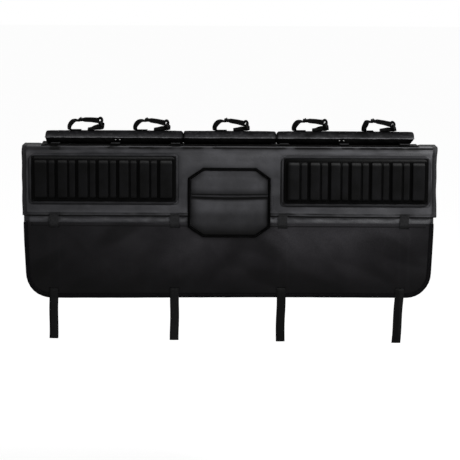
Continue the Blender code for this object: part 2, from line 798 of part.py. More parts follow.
def buckle(number, x):
    face = FRONT + STRAP_FACE + STRAP_T / 2
    loop_r = 0.0036
    pivot = (face + loop_r * 0.55, rear_low - BUCKLE_HANG)
    line = [(face, rear_low + BUCKLE_TAB_SEWN), (face, rear_low - 0.006)]
    line += arc(pivot, loop_r, 165, 375, 8)
    line += [(face + STRAP_T + CLEAR, rear_low - 0.006 + 0.001)]
    line += [(face + STRAP_T + CLEAR, rear_low + BUCKLE_TAB_SEWN)]

    def place(a, b, w):
        return Vector((x + w, a, b))

    ribbon(f"buckle_tab_{number}", line, STRAP_W / 2, STRAP_T, place, webbing)

    # Ladder lock: a frame with three bars, the top one in the tab's loop
    room = loop_r - STRAP_T / 2
    hang = room - BUCKLE_BAR / 2 - 0.0006
    top = pivot[1] - hang + BUCKLE_BAR / 2
    bars = 3
    inner_w = STRAP_W / 2 + 0.0010
    slot_h = (BUCKLE_H - bars * BUCKLE_BAR) / (bars - 1)
    data = bpy.data.curves.new(f"strap_buckle_{number}", "CURVE")
    data.dimensions = "2D"
    data.fill_mode = "BOTH"
    data.extrude = BUCKLE_T / 2
    outline = rounded_box(BUCKLE_W, BUCKLE_H, 0.004, 2, (0.0, -BUCKLE_H / 2))
    outlines = [outline]
    for k in range(bars - 1):
        high = -BUCKLE_BAR - k * (slot_h + BUCKLE_BAR)
        outlines.append([
            (-inner_w, high - slot_h), (inner_w, high - slot_h), (inner_w, high), (-inner_w, high),
        ])
    for points in outlines:
        spline = data.splines.new("POLY")
        spline.points.add(len(points) - 1)
        for point, (a, b) in zip(spline.points, points):
            point.co = (a, b, 0.0, 1.0)
        spline.use_cyclic_u = True
    curve = bpy.data.objects.new("buckle_outline", data)
    parts.objects.link(curve)
    curve.rotation_euler = (pi / 2, 0.0, 0.0)
    curve.location = (x, pivot[0], top)
    bpy.context.view_layer.update()
    from_bmesh(f"strap_buckle_{number}", mesh_of(curve), nylon)


for number, x in enumerate(STRAP_TOP_X, 1):
    buckle(number, x)

# Bike straps


def bike_loop(number):
    """Webbing that curls over to a hook, whose eye holds a ring on a folded anchor tab."""
    x0 = LOOP_X[number]
    lean = LOOP_LEAN[number]
    tilt = radians(LOOP_TILT[number])
    order = number + 1

    def place(a, b, w):
        return Vector((x0 + a, CUSHION_Y + w, CUSHION_TOP + b))

    # Strap: flat foot, curl to the left, over the top and up through the hook's slot
    slot = (-HOOK_BACK + lean, HOOK_UP)
    foot = CLEAR + WEB_T / 2
    under = HEAD_T / 2 + WEB_T / 2 + 0.0013
    points = [
        (-0.013 + lean, foot), (-0.024 + lean, foot), (-0.036 + lean, foot + 0.0006),
        (-0.049 + lean, foot + 0.0040), (-0.0590 + lean / 2, foot + 0.0125),
        (-0.0610 + lean / 2, foot + 0.0225), (-0.0550 + lean / 2, foot + 0.0305),
        (-0.0440 + lean, HOOK_UP - under + 0.0012), (-0.0300 + lean, HOOK_UP - under + 0.0004),
        (slot[0] - 0.0075, HOOK_UP - under), (slot[0] - 0.0022, HOOK_UP - under + 0.0002),
        (slot[0] + 0.0002, HOOK_UP - under + 0.0023), (slot[0] + 0.0002, HOOK_UP + 0.0005),
        (slot[0], HOOK_UP + 0.0085),
    ]
    ribbon(f"bike_strap_{order}", smooth_line(points, 3), WEB_W / 2, WEB_T, place, webbing)

    # Hook: a bar with an eye, and a wide slotted head for the webbing
    half = HOOK_BAR / 2
    eye = (HOOK_REACH, -0.002)
    gap = WEB_T / 2 + SLOT_CLEAR
    neck = gap + HEAD_BAR
    outline = [(neck - 0.001, -half * 0.55), (neck + 0.008, -half)]
    outline.append((HOOK_REACH * 0.55, -half * 1.12))
    outline += arc(eye, EYE_R, 220, 500, 16)
    outline += [(HOOK_REACH * 0.55, half * 1.05), (neck + 0.008, half), (neck - 0.001, half * 0.55)]
    hole = arc(eye, EYE_HOLE, 0, 360, 14)[:-1]
    data = bpy.data.curves.new(f"snap_hook_{order}", "CURVE")
    data.dimensions = "2D"
    data.fill_mode = "BOTH"
    data.extrude = HOOK_W / 2
    for ring in (outline, hole):
        spline = data.splines.new("POLY")
        spline.points.add(len(ring) - 1)
        for point, (a, b) in zip(spline.points, ring):
            point.co = (a, b, 0.0, 1.0)
        spline.use_cyclic_u = True
    curve = bpy.data.objects.new("hook_outline", data)
    parts.objects.link(curve)
    curve.matrix_world = Matrix.Rotation(pi / 2, 4, "X")
    bpy.context.view_layer.update()
    turn = Matrix.Rotation(tilt, 4, "Y")
    seat = Matrix.Translation(place(slot[0], slot[1], 0.0))
    bm = mesh_of(curve)
    bmesh.ops.transform(bm, matrix=seat @ turn, verts=bm.verts[:])
    hook = from_bmesh(f"snap_hook_{order}", bm, nylon, smooth=35)

    wide = WEB_W / 2 + SLOT_CLEAR + HEAD_SIDE
    head = box(f"hook_head_{order}", (-neck, -wide, -HEAD_T / 2), (neck, wide, HEAD_T / 2),
               nylon, cutters, bevel=0.0012, segments=1)
    slot_tool = box(
        f"hook_slot_{order}", (-gap, -WEB_W / 2 - SLOT_CLEAR, -HEAD_T),
        (gap, WEB_W / 2 + SLOT_CLEAR, HEAD_T), None, cutters,
    )
    for tool in (head, slot_tool):
        tool.matrix_world = seat @ turn
    boolean(hook, head, "UNION")
    boolean(hook, slot_tool)

    # Ring: its upper bar lies in the eye, its lower bar in the tab
    swing = EYE_HOLE - RING_WIRE / 2 - CLEAR
    eye_x = slot[0] + eye[0] * cos(tilt) + eye[1] * sin(tilt)
    eye_z = slot[1] - eye[0] * sin(tilt) + eye[1] * cos(tilt)
    low = radians(RING_LEAN)
    upper = (eye_x + swing * sin(low), eye_z - swing * cos(low))
    lower = (upper[0] + RING_LENGTH * sin(low), upper[1] - RING_LENGTH * cos(low))
    middle = ((upper[0] + lower[0]) / 2, (upper[1] + lower[1]) / 2)
    side = WEB_W / 2 + RING_WIRE / 2 + 0.0010
    data = bpy.data.curves.new(f"strap_ring_{order}", "CURVE")
    data.dimensions = "3D"
    data.bevel_depth = RING_WIRE / 2
    data.bevel_resolution = 2
    frame = rounded_box(2 * side, RING_LENGTH, 0.0030, 2)
    spline = data.splines.new("POLY")
    spline.points.add(len(frame) - 1)
    for point, (a, b) in zip(spline.points, frame):
        point.co = (middle[0] - b * sin(low), a, middle[1] + b * cos(low), 1.0)
    spline.use_cyclic_u = True
    curve = bpy.data.objects.new("ring_line", data)
    parts.objects.link(curve)
    curve.location = place(0.0, 0.0, 0.0)
    bpy.context.view_layer.update()
    from_bmesh(f"strap_ring_{order}", mesh_of(curve), steel, smooth=60)

    # Anchor tab: both plies lie together on the cushion and part round the ring
    reach = RING_WIRE / 2 + CLEAR + TAB_T / 2
    rise = lower[1]
    ply = CLEAR + TAB_T / 2
    left = lower[0] - 0.052
    points = [
        (left, ply), (left + 0.012, ply + 0.0002), (left + 0.024, ply + rise * 0.10),
        (left + 0.036, ply + rise * 0.16), (lower[0] - 0.005, ply + rise * 0.20),
    ]
    points += arc(lower, reach, -50, 110, 6)
    points += [
        (lower[0] - 0.011, lower[1] - 0.0005), (lower[0] - 0.024, ply * 2 + rise * 0.48),
        (left + 0.012, ply + TAB_T + 0.0010), (left, ply + TAB_T + CLEAR),
    ]
    ribbon(f"anchor_tab_{order}", smooth_line(points, 2), WEB_W / 2, TAB_T, place, webbing)


for number in range(len(LOOP_X)):
    bike_loop(number)
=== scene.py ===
# Tailgate bike pad: cloth, cushions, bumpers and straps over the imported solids
from math import cos, exp, hypot, pi, radians, sin

import bmesh
import bpy
from mathutils import Matrix, Vector, noise
from mathutils.bvhtree import BVHTree


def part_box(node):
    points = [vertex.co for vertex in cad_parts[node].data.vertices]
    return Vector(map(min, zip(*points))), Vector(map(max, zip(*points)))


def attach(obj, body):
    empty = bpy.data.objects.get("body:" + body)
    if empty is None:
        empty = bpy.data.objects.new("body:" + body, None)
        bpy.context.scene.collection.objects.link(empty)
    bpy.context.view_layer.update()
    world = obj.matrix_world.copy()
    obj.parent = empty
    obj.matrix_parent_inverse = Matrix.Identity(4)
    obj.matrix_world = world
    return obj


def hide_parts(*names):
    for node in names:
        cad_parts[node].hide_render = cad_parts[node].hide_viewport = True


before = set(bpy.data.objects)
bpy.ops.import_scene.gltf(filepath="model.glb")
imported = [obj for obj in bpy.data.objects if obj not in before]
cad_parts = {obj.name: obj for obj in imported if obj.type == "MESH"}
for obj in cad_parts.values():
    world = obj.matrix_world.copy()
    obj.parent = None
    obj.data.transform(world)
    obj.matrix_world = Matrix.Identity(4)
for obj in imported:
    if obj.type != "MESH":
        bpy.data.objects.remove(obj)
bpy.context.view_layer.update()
scene = bpy.context.scene

tailgate = {"half": 0.045, "fold": 0.0121}  # half its thickness, height of the pad's fold above it


def toLinear(hexColour):
    values = [int(hexColour[i:i + 2], 16) / 255 for i in (1, 3, 5)]
    return [*(v / 12.92 if v <= 0.04045 else ((v + 0.055) / 1.055) ** 2.4 for v in values), 1.0]


def addNode(tree, kind, inputs=None, **settings):
    node = tree.nodes.new(kind)
    for key, value in settings.items():
        setattr(node, key, value)
    for key, value in (inputs or {}).items():
        if isinstance(value, bpy.types.NodeSocket):
            tree.links.new(value, node.inputs[key])
        else:
            node.inputs[key].default_value = value
    return node


# Finishes

def startFinish(name, v):
    material = bpy.data.materials.new(name)
    material.use_nodes = True
    tree = material.node_tree
    shader = tree.nodes["Principled BSDF"]
    for socket, key in (("Roughness", "roughness"), ("Specular IOR Level", "specular"),
                        ("Metallic", "metal")):
        shader.inputs[socket].default_value = v.get(key, 0.0)
    return material, tree, shader, addNode(tree, "ShaderNodeTexCoord").outputs["Object"]


def noiseAt(tree, place, scale, detail=3.0, **more):
    return addNode(tree, "ShaderNodeTexNoise",
                   {"Vector": place, "Scale": scale, "Detail": detail, **more}).outputs["Fac"]


def wave(tree, spacing, direction):
    # spacing is the real distance between two threads or cords, in metres
    threads = addNode(tree, "ShaderNodeUVMap", uv_map="threads").outputs["UV"]
    return addNode(tree, "ShaderNodeTexWave", {"Vector": threads, "Scale": 0.31416 / spacing},
                   wave_type="BANDS", bands_direction=direction).outputs["Fac"]


def combine(tree, a, b, operation="MULTIPLY"):
    return addNode(tree, "ShaderNodeMath", {0: a, 1: b}, operation=operation).outputs[0]


def layerOver(tree, amount, below, hexColour):
    return addNode(tree, "ShaderNodeMix", {0: amount, 6: below, 7: toLinear(hexColour)},
                   data_type="RGBA").outputs[2]


def colourFinish(tree, shader, place, value, v, low, high):
    # two tones by a value, then one layer lightens worn edges and painted highlights through a
    # dusty pattern, and another darkens seams, hollows and places under parts to near black as
    # painted shade
    tone = addNode(tree, "ShaderNodeValToRGB", {"Fac": value})
    for element, spot, key in zip(tone.color_ramp.elements, (low, high), ("dark", "light")):
        element.position, element.color = spot, toLinear(v[key])
    rub, shade = (addNode(tree, "ShaderNodeAttribute", attribute_name=title).outputs["Fac"]
                  for title in ("rub", "shade"))
    wornAndLit = combine(tree, rub, noiseAt(tree, place, 260.0, 2.0))
    lighter = layerOver(tree, wornAndLit, tone.outputs["Color"], v["rubbed"])
    tree.links.new(layerOver(tree, shade, lighter, "#020202"), shader.inputs["Base Color"])


def bumpFrom(tree, height, distance, strength, **more):
    return addNode(tree, "ShaderNodeBump",
                   {"Height": height, "Distance": distance, "Strength": strength,
                    **more}).outputs["Normal"]


def unevenGloss(tree, shader, value, v, less, more):
    gloss = addNode(tree, "ShaderNodeMapRange",
                    {"Value": value, "To Min": v["roughness"] - less,
                     "To Max": v["roughness"] + more})
    tree.links.new(gloss.outputs["Result"], shader.inputs["Roughness"])


def clothFinish(name, **given):
    # thread pattern on the cloth's own map, clouds and creases on object coordinates
    v = {"thread": 0.0016, "threadDepth": 0.00010, "crease": 0.014, "creaseDepth": 0.0010,
         "sheen": 0.0, **given}
    material, tree, shader, place = startFinish(name, v)
    cloud = noiseAt(tree, place, 1 / v["cloud"], 4.0, Roughness=0.6)
    colourFinish(tree, shader, place, cloud, v, 0.36, 0.66)
    woven = combine(tree, wave(tree, v["thread"], "X"), wave(tree, v["thread"], "Y"))
    crease = noiseAt(tree, place, 1 / v["crease"], 5.0, Roughness=0.5, Distortion=0.6)
    folds = bumpFrom(tree, crease, v["creaseDepth"], 0.8)
    normal = bumpFrom(tree, woven, v["threadDepth"], 0.6, Normal=folds)
    tree.links.new(normal, shader.inputs["Normal"])
    unevenGloss(tree, shader, crease, v, 0.08, 0.10)
    shader.inputs["Sheen Weight"].default_value = v["sheen"]
    shader.inputs["Sheen Roughness"].default_value = 0.5
    return material


def webbingFinish(name, **given):
    # lengthwise cords with a fine cross weave between them
    v = {"rubbed": "#4c4c4e", "cord": 0.0030, "pick": 0.0016, "weave": "Y", "depth": 0.0003,
         **given}
    material, tree, shader, place = startFinish(name, v)
    both = combine(tree, wave(tree, v["cord"], "X"), wave(tree, v["pick"], v["weave"]))
    uneven = combine(tree, both, noiseAt(tree, place, 28.0))
    colourFinish(tree, shader, place, uneven, v, 0.0, 0.6)
    tree.links.new(bumpFrom(tree, both, v["depth"], 0.8), shader.inputs["Normal"])
    return material


def hardFinish(name, **given):
    # fine moulding or coating grain, with a slow change of tone
    v = {"rubbed": "#303030", "cloud": 0.01, "grain": 0.0008, **given}
    material, tree, shader, place = startFinish(name, v)
    colourFinish(tree, shader, place, noiseAt(tree, place, 1 / v["cloud"]), v, 0.35, 0.65)
    grain = noiseAt(tree, place, 1 / v["grain"], Roughness=0.6)
    tree.links.new(bumpFrom(tree, grain, v["grainDepth"], 0.7), shader.inputs["Normal"])
    unevenGloss(tree, shader, grain, v, 0.07, 0.09)
    return material


# Coated polyester canvas: woven cloth under a thin soft coat, matt with a faint gloss.
# Its threads are 0.5 mm apart, drawn at 1.6 mm so that they show.
coatedCanvas = clothFinish("coatedPolyesterCanvas", dark="#333335", light="#444447",
                           rubbed="#666668", roughness=0.52, specular=0.07, cloud=0.13,
                           crease=0.030, creaseDepth=0.0016)
# Smooth coated nylon of the apron: closer weave, darker and a little glossier
smoothNylon = clothFinish("smoothCoatedNylon", dark="#151416", light="#212022", rubbed="#434245",
                          roughness=0.46, specular=0.05, cloud=0.20, thread=0.0014,
                          threadDepth=0.00006, crease=0.055, creaseDepth=0.0022)
# The cushions' cover is the same canvas, sewn tight, so its creases are finer
cushionCanvas = clothFinish("cushionCanvas", dark="#0f0f10", light="#1c1c1e", rubbed="#848486",
                            roughness=0.58, specular=0.02, cloud=0.05, creaseDepth=0.0012)
# The cushions' underside and the base below them: the same cloth in deep black, as painted shade
shadeBlackCanvas = clothFinish("blackCoatedCanvas", dark="#060606", light="#0c0c0c", rubbed="#202020",
                         roughness=0.60, specular=0.02, cloud=0.05)
# Canvas over the bumpers' raised rims, darker than the panel
rimCanvas = clothFinish("darkRimCanvas", dark="#262628", light="#333335", rubbed="#4c4c4e",
                        roughness=0.52, specular=0.05, cloud=0.08)
# Brushed polyester fleece: no gloss, short pile
brushedFleece = clothFinish("brushedFleece", dark="#2a2a2b", light="#3a3a3b", rubbed="#505050",
                            roughness=0.88, specular=0.02, sheen=0.05, cloud=0.03, thread=0.0030,
                            threadDepth=0.0004, crease=0.006, creaseDepth=0.0012)
# Foam faced with thin knitted cloth
facedFoam = clothFinish("facedFoam", dark="#303032", light="#3c3c3e", rubbed="#505050",
                        roughness=0.75, specular=0.03, sheen=0.02, cloud=0.09, thread=0.0025,
                        threadDepth=0.0003, crease=0.045, creaseDepth=0.0015)
# Polypropylene binding tape: cross ribs 1.6 mm apart, dull
bindingTape = webbingFinish("grosgrainBindingTape", dark="#020202", light="#090909",
                            roughness=0.75, specular=0.01)
# Tape round the apron, as dark as the apron itself
apronEdge = webbingFinish("apronTapeGrosgrain", dark="#070708", light="#151416", roughness=0.70,
                          specular=0.02)
# The panel's side binding catches more light than the dull tape
sideTape = webbingFinish("coatedSideTape", dark="#121213", light="#343436", roughness=0.62,
                         specular=0.06, cord=0.0035, pick=0.0022)
# Nylon webbing: herringbone weave, cords drawn 2.6 mm apart
slantedWeave = {"cord": 0.0026, "pick": 0.0022, "weave": "DIAGONAL", "depth": 0.0004}
nylonWebbing = webbingFinish("nylonWebbing", dark="#080808", light="#202021", roughness=0.62,
                             specular=0.05, **slantedWeave)
# The bike straps' webbing is newer and blacker
loopWebbing = webbingFinish("blackNylonWebbing", dark="#020202", light="#0b0b0b", rubbed="#303032",
                            roughness=0.70, specular=0.02, **slantedWeave)
# Thermoformed foam of the bumpers: fine skin, satin to matt
mouldedFoam = hardFinish("thermoformedFoam", dark="#0d0d0d", light="#141415", rubbed="#5a5a5a",
                         roughness=0.56, specular=0.03, cloud=0.05, grain=0.0009,
                         grainDepth=0.00012)
# Glass-filled nylon of hooks and buckles: fine spark-eroded grain
glassNylon = hardFinish("glassFilledNylon", dark="#020202", light="#070707", roughness=0.46,
                        specular=0.04, cloud=0.02, grain=0.0006, grainDepth=0.00008)
# Steel wire under black chrome: a dark, half-gloss coat
blackChrome = hardFinish("blackChromedSteel", dark="#040404", light="#0b0b0c", roughness=0.36,
                         specular=0.07, grainDepth=0.00004)
# Nickel-plated rivet heads
nickelPlate = hardFinish("nickelPlate", dark="#9a9a98", light="#b8b8b6", roughness=0.28,
                         specular=0.5, metal=1.0, grainDepth=0.00003)
# Bonded polyester thread
sewingThread = hardFinish("bondedPolyesterThread", dark="#0e0e0e", light="#202021", roughness=0.55,
                          specular=0.06, grain=0.0005, grainDepth=0.00006)
print("finishes made")


# Shared shaping

def ease(low, high, value):
    t = min(max((value - low) / (high - low), 0.0), 1.0)
    return t * t * (3 - 2 * t)


def fade(low, high, value):
    return 1 - ease(low, high, value)


def cloudAt(a, b, seed):
    return noise.noise(Vector((a, b, seed * 7.31)))


def foldsAt(a, b, seed):
    # sharper ridges than a cloud, from 0 to 1
    return 1 - abs(noise.noise(Vector((a, b, seed * 5.17)))) * 2


def peak(value, middle, width):
    return exp(-((value - middle) / width) ** 2)


def layered(*amounts):
    # several shares from 0 to 1, such as shades, taken together
    left = 1.0
    for amount in amounts:
        left *= 1 - amount
    return 1 - left


def dropOf(co):
    return tailgate["fold"] - co.z


def outOf(co):
    return -co.y - tailgate["half"]


def frontPoint(x, drop, out):
    return Vector((x, -tailgate["half"] - out, tailgate["fold"] - drop))


def cutRows(bm, axis, start, stop, step, extra=()):
    count = max(1, round((stop - start) / step))
    places = [start + (stop - start) * i / count for i in range(1, count)] + list(extra)
    normal = [0, 0, 0]
    normal[axis] = 1
    for place in sorted(places):
        spot = [0, 0, 0]
        spot[axis] = place + 1.3e-5
        bmesh.ops.bisect_plane(bm, geom=bm.verts[:] + bm.edges[:] + bm.faces[:], plane_co=spot,
                               plane_no=normal, dist=1e-6)


def mapThreads(mesh, across):
    # u runs across the cloth and v along it, both in metres
    uv = mesh.uv_layers.new(name="threads")
    for face in mesh.polygons:
        n = [abs(c) for c in face.normal]
        other = [i for i in range(3) if i != across]
        along = min(other, key=lambda i: n[i])
        first = across
        if n[across] > 0.8:
            first = max(other, key=lambda i: n[i])
        for k in face.loop_indices:
            co = mesh.vertices[mesh.loops[k].vertex_index].co
            uv.data[k].uv = (co[first], co[along])


def newObject(name, bm):
    mesh = bpy.data.meshes.new(name)
    bm.to_mesh(mesh)
    bm.free()
    obj = bpy.data.objects.new(name, mesh)
    scene.collection.objects.link(obj)
    return obj


def skin(bm, rings, closed=False):
    # faces through rings of points, capped at both ends or joined end to end
    rings = [[bm.verts.new(p) for p in ring] for ring in rings]
    for here, there in zip(rings, rings[1:] + (rings[:1] if closed else [])):
        for k in range(len(here)):
            j = (k + 1) % len(here)
            bm.faces.new((here[k], here[j], there[j], there[k]))
    if not closed:
        bm.faces.new(rings[0])
        bm.faces.new(list(reversed(rings[-1])))
    bmesh.ops.recalc_face_normals(bm, faces=bm.faces[:])
    return rings


def addPiece(name, bm, finish, stands, across=0, sharp=38.0, rub=None, shade=None):
    # per-point layers: lightening for wear and painted highlights, darkening for painted shade
    for title, amount in (("rub", rub), ("shade", shade)):
        if amount:
            layer = bm.verts.layers.float.new(title)
            for v in bm.verts:
                v[layer] = min(max(amount(v.co), 0.0), 1.0)
    obj = newObject(name, bm)
    obj.data.materials.append(finish)
    mapThreads(obj.data, across)
    obj.data.shade_smooth()
    obj.data.set_sharp_from_angle(angle=radians(sharp))
    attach(obj, "root")
    if stands:
        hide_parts(*stands)
    return obj


def softCopy(name, node, finish, cuts, move=None, across=0, sharp=38.0, rub=None,
             shade=None, swell=0.0):
    # a finer copy of one solid, whose points a function then moves
    bm = bmesh.new()
    bm.from_mesh(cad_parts[node].data)
    bmesh.ops.remove_doubles(bm, verts=bm.verts[:], dist=1e-5)
    bmesh.ops.dissolve_limit(bm, angle_limit=radians(1.0), verts=bm.verts[:], edges=bm.edges[:])
    low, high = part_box(node)
    for axis, step, *extra in cuts:
        cutRows(bm, axis, low[axis], high[axis], step, *extra)
    if swell:
        bm.normal_update()
        for v in bm.verts:
            v.co += v.normal * swell
    if move:
        for v in bm.verts:
            v.co = move(v.co.copy())
    bmesh.ops.recalc_face_normals(bm, faces=bm.faces[:])
    return addPiece(name, bm, finish, [node], across, sharp, rub, shade)


def bevelEdges(obj, width, sharpest):
    edges = obj.modifiers.new("edges", "BEVEL")
    edges.width, edges.segments, edges.limit_method = width, 2, "ANGLE"
    edges.angle_limit = radians(sharpest)


# Stitches: rows are collected as lines of points and sewn by one tree

thread = {"pitch": 0.0058, "length": 0.0040, "thickness": 0.0011}
seams = {}


def sew(group, points, closed=False):
    seams.setdefault(group, []).append((points, closed))


def startTree(name, sockets):
    tree = bpy.data.node_groups.new(name, "GeometryNodeTree")
    for title, kind in (("Geometry", "Geometry"), *sockets, ("Finish", "Material")):
        tree.interface.new_socket(title, in_out="INPUT", socket_type="NodeSocket" + kind)
    tree.interface.new_socket("Geometry", in_out="OUTPUT", socket_type="NodeSocketGeometry")
    return tree, addNode(tree, "NodeGroupInput").outputs


def endTree(tree, placed, finish):
    solid = addNode(tree, "GeometryNodeRealizeInstances", {0: placed.outputs[0]})
    dyed = addNode(tree, "GeometryNodeSetMaterial",
                   {"Geometry": solid.outputs[0], "Material": finish})
    addNode(tree, "NodeGroupOutput", {0: dyed.outputs[0]})
    return tree


def stitchTree():
    measures = ("Pitch", "Stitch Length", "Thread Thickness")
    tree, given = startTree("stitchRow", [(title, "Float") for title in measures])
    line = addNode(tree, "GeometryNodeMeshToCurve", {0: given["Geometry"]})
    spots = addNode(tree, "GeometryNodeCurveToPoints",
                    {"Curve": line.outputs[0], "Length": given["Pitch"]}, mode="LENGTH")
    bead = addNode(tree, "GeometryNodeMeshUVSphere", {"Segments": 6, "Rings": 4, "Radius": 0.5})
    size = addNode(tree, "ShaderNodeCombineXYZ",
                   {0: given["Thread Thickness"], 1: given["Thread Thickness"],
                    2: given["Stitch Length"]})
    shaped = addNode(tree, "GeometryNodeTransform",
                     {"Geometry": bead.outputs["Mesh"], "Scale": size.outputs[0]})
    turned = addNode(tree, "FunctionNodeAlignRotationToVector",
                     {"Vector": spots.outputs["Tangent"]}, axis="Z")
    placed = addNode(tree, "GeometryNodeInstanceOnPoints",
                     {"Points": spots.outputs["Points"], "Instance": shaped.outputs[0],
                      "Rotation": turned.outputs[0]})
    return endTree(tree, placed, given["Finish"])


def bakeModifier(obj):
    bpy.context.view_layer.update()
    depsgraph = bpy.context.evaluated_depsgraph_get()
    result = bpy.data.meshes.new_from_object(obj.evaluated_get(depsgraph), depsgraph=depsgraph)
    obj.modifiers.clear()
    old, obj.data = obj.data, result
    bpy.data.meshes.remove(old)


def applyTree(obj, tree, values):
    # inputs are set by identifier
    modifier = obj.modifiers.new(tree.name, "NODES")
    modifier.node_group = tree
    for item in tree.interface.items_tree:
        if item.in_out == "INPUT" and item.name in values:
            modifier[item.identifier] = values[item.name]
    bakeModifier(obj)


def sewAll():
    tree = stitchTree()
    for group, rows in seams.items():
        bm = bmesh.new()
        for points, closed in rows:
            verts = [bm.verts.new(p) for p in points]
            for a, b in zip(verts, verts[1:] + (verts[:1] if closed else [])):
                bm.edges.new((a, b))
        obj = newObject(group, bm)
        applyTree(obj, tree, {"Pitch": thread["pitch"], "Stitch Length": thread["length"],
                              "Thread Thickness": thread["thickness"], "Finish": sewingThread})
        obj.data.shade_smooth()
        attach(obj, "root")


# Window outline, which several pieces keep clear of

windowShape = {"half": 0.143, "high": 0.122, "cutX": 0.050, "cutZ": 0.036, "middle": 0.196}


def windowGap(x, drop):
    # distance outside the window's binding, negative inside it
    w = windowShape
    a, b = abs(x) - w["half"], abs(drop - w["middle"]) - w["high"]
    slant = (w["cutZ"] * a + w["cutX"] * (b + w["cutZ"])) / hypot(w["cutX"], w["cutZ"])
    return max(a, b, slant)


def windowLine(by, out):
    w = windowShape
    s = by * 0.42
    quarter = [(w["half"] + by, w["high"] - w["cutZ"] + s),
               (w["half"] - w["cutX"] + s, w["high"] + by)]
    line = quarter + [(-a, b) for a, b in reversed(quarter)]
    line += [(-a, -b) for a, b in line]
    return [frontPoint(a, w["middle"] - b, out) for a, b in line]


# Outer panel: canvas drawn over the fold, quilted down at its seams

panelCloth = {"cell": 0.0075, "billow": 0.0022, "billowSize": 0.055, "fold": 0.0016,
              "foldSize": 0.026, "seamDrop": 0.0062, "seamDepth": 0.0016, "seamWidth": 0.0030,
              "pucker": 0.00045, "puckerPitch": 0.021, "face": 0.0121}
bumperPlaces = ((-0.440, 0.1135), (0.440, 0.1185))  # middle of each bumper, x and drop
bumperSize = (0.250, 0.078)
strapPlaces = (-0.614, -0.191, 0.187, 0.612)


def bumperAway(x, drop, place):
    # distance outside a bumper's plate, negative over it
    a, b = abs(x - place[0]) - bumperSize[0], abs(drop - place[1]) - bumperSize[1]
    return hypot(max(a, 0), max(b, 0)) if max(a, b) > 0 else max(a, b)


def rimLines(places, steps):
    # columns and rows that follow the bumpers' rims at some distances from their plates
    reach = [(side, d) for side in (-1, 1) for d in steps]
    across = [bx + side * (bumperSize[0] + d) for bx, _ in places for side, d in reach]
    down = [tailgate["fold"] - bd - side * (bumperSize[1] + d)
            for _, bd in places for side, d in reach]
    return across, down


def panelFree(x, drop):
    # 1 where the cloth may move, 0 where something lies on it or is sewn to it
    free = ease(0.0, 0.012, windowGap(x, drop)) * ease(0.0, 0.012, 0.706 - abs(x))
    for bx, bd in bumperPlaces:
        away = max(abs(x - bx) - bumperSize[0], abs(drop - bd) - bumperSize[1])
        free *= ease(0.0115, 0.021, away)
    for sx in strapPlaces:
        free *= 1 - ease(0.222, 0.230, drop) * fade(0.018, 0.026, abs(x - sx))
    return free


def panelOut(x, drop):
    c = panelCloth
    rise = c["billow"] * (0.45 + 0.9 * cloudAt(x / c["billowSize"], drop / c["billowSize"], 1))
    slanted = x * 0.8 + drop * 0.6
    rise += c["fold"] * foldsAt(slanted / c["foldSize"] / 2.5, drop / c["foldSize"], 2) ** 2
    rise *= ease(0.004, 0.016, drop)
    flare = (0.0030 + 0.0012 * cloudAt(x / 0.07, 0.3, 8)) * ease(0.226, 0.243, drop)
    sunk = peak(drop, c["seamDrop"], c["seamWidth"])
    wrinkle = sin(2 * pi * x / c["puckerPitch"] + 5.0 * cloudAt(x * 9, 0, 3))
    rise += c["pucker"] * wrinkle * exp(-abs(drop - c["seamDrop"]) / 0.009)
    return max(rise + flare, -0.0002) * panelFree(x, drop) - c["seamDepth"] * sunk


def rightPull(x, drop):
    # the tape draws the right side in a little above its middle
    return 0.0035 * ease(0.690, 0.712, x) * ease(0.0, 0.03, drop) * fade(0.16, 0.235, drop)


def hemSink(x):
    # the panel hangs a little lower towards its right end
    return 0.0022 * ease(0.10, 0.50, x)


def endRise(co):
    # beyond the base strip the top stands up a little at the rear
    return (0.0030 * ease(0.655, 0.672, abs(co.x)) * ease(-0.01, 0.03, co.y)
            * ease(-0.01, 0.005, co.z))


def panelMove(co):
    c = panelCloth
    out = outOf(co)
    drop = dropOf(co)
    co.z += endRise(co)
    if co.y < 0:
        co.z -= hemSink(co.x) * ease(0.205, 0.238, drop)
    if out > c["face"] - 0.0015 and drop > 0.0025:
        co.y -= panelOut(co.x, drop)
    elif drop > 0.228:
        co.y -= 0.7 * max(panelOut(co.x, drop), 0.0)
    co.x -= rightPull(co.x, drop)
    return co


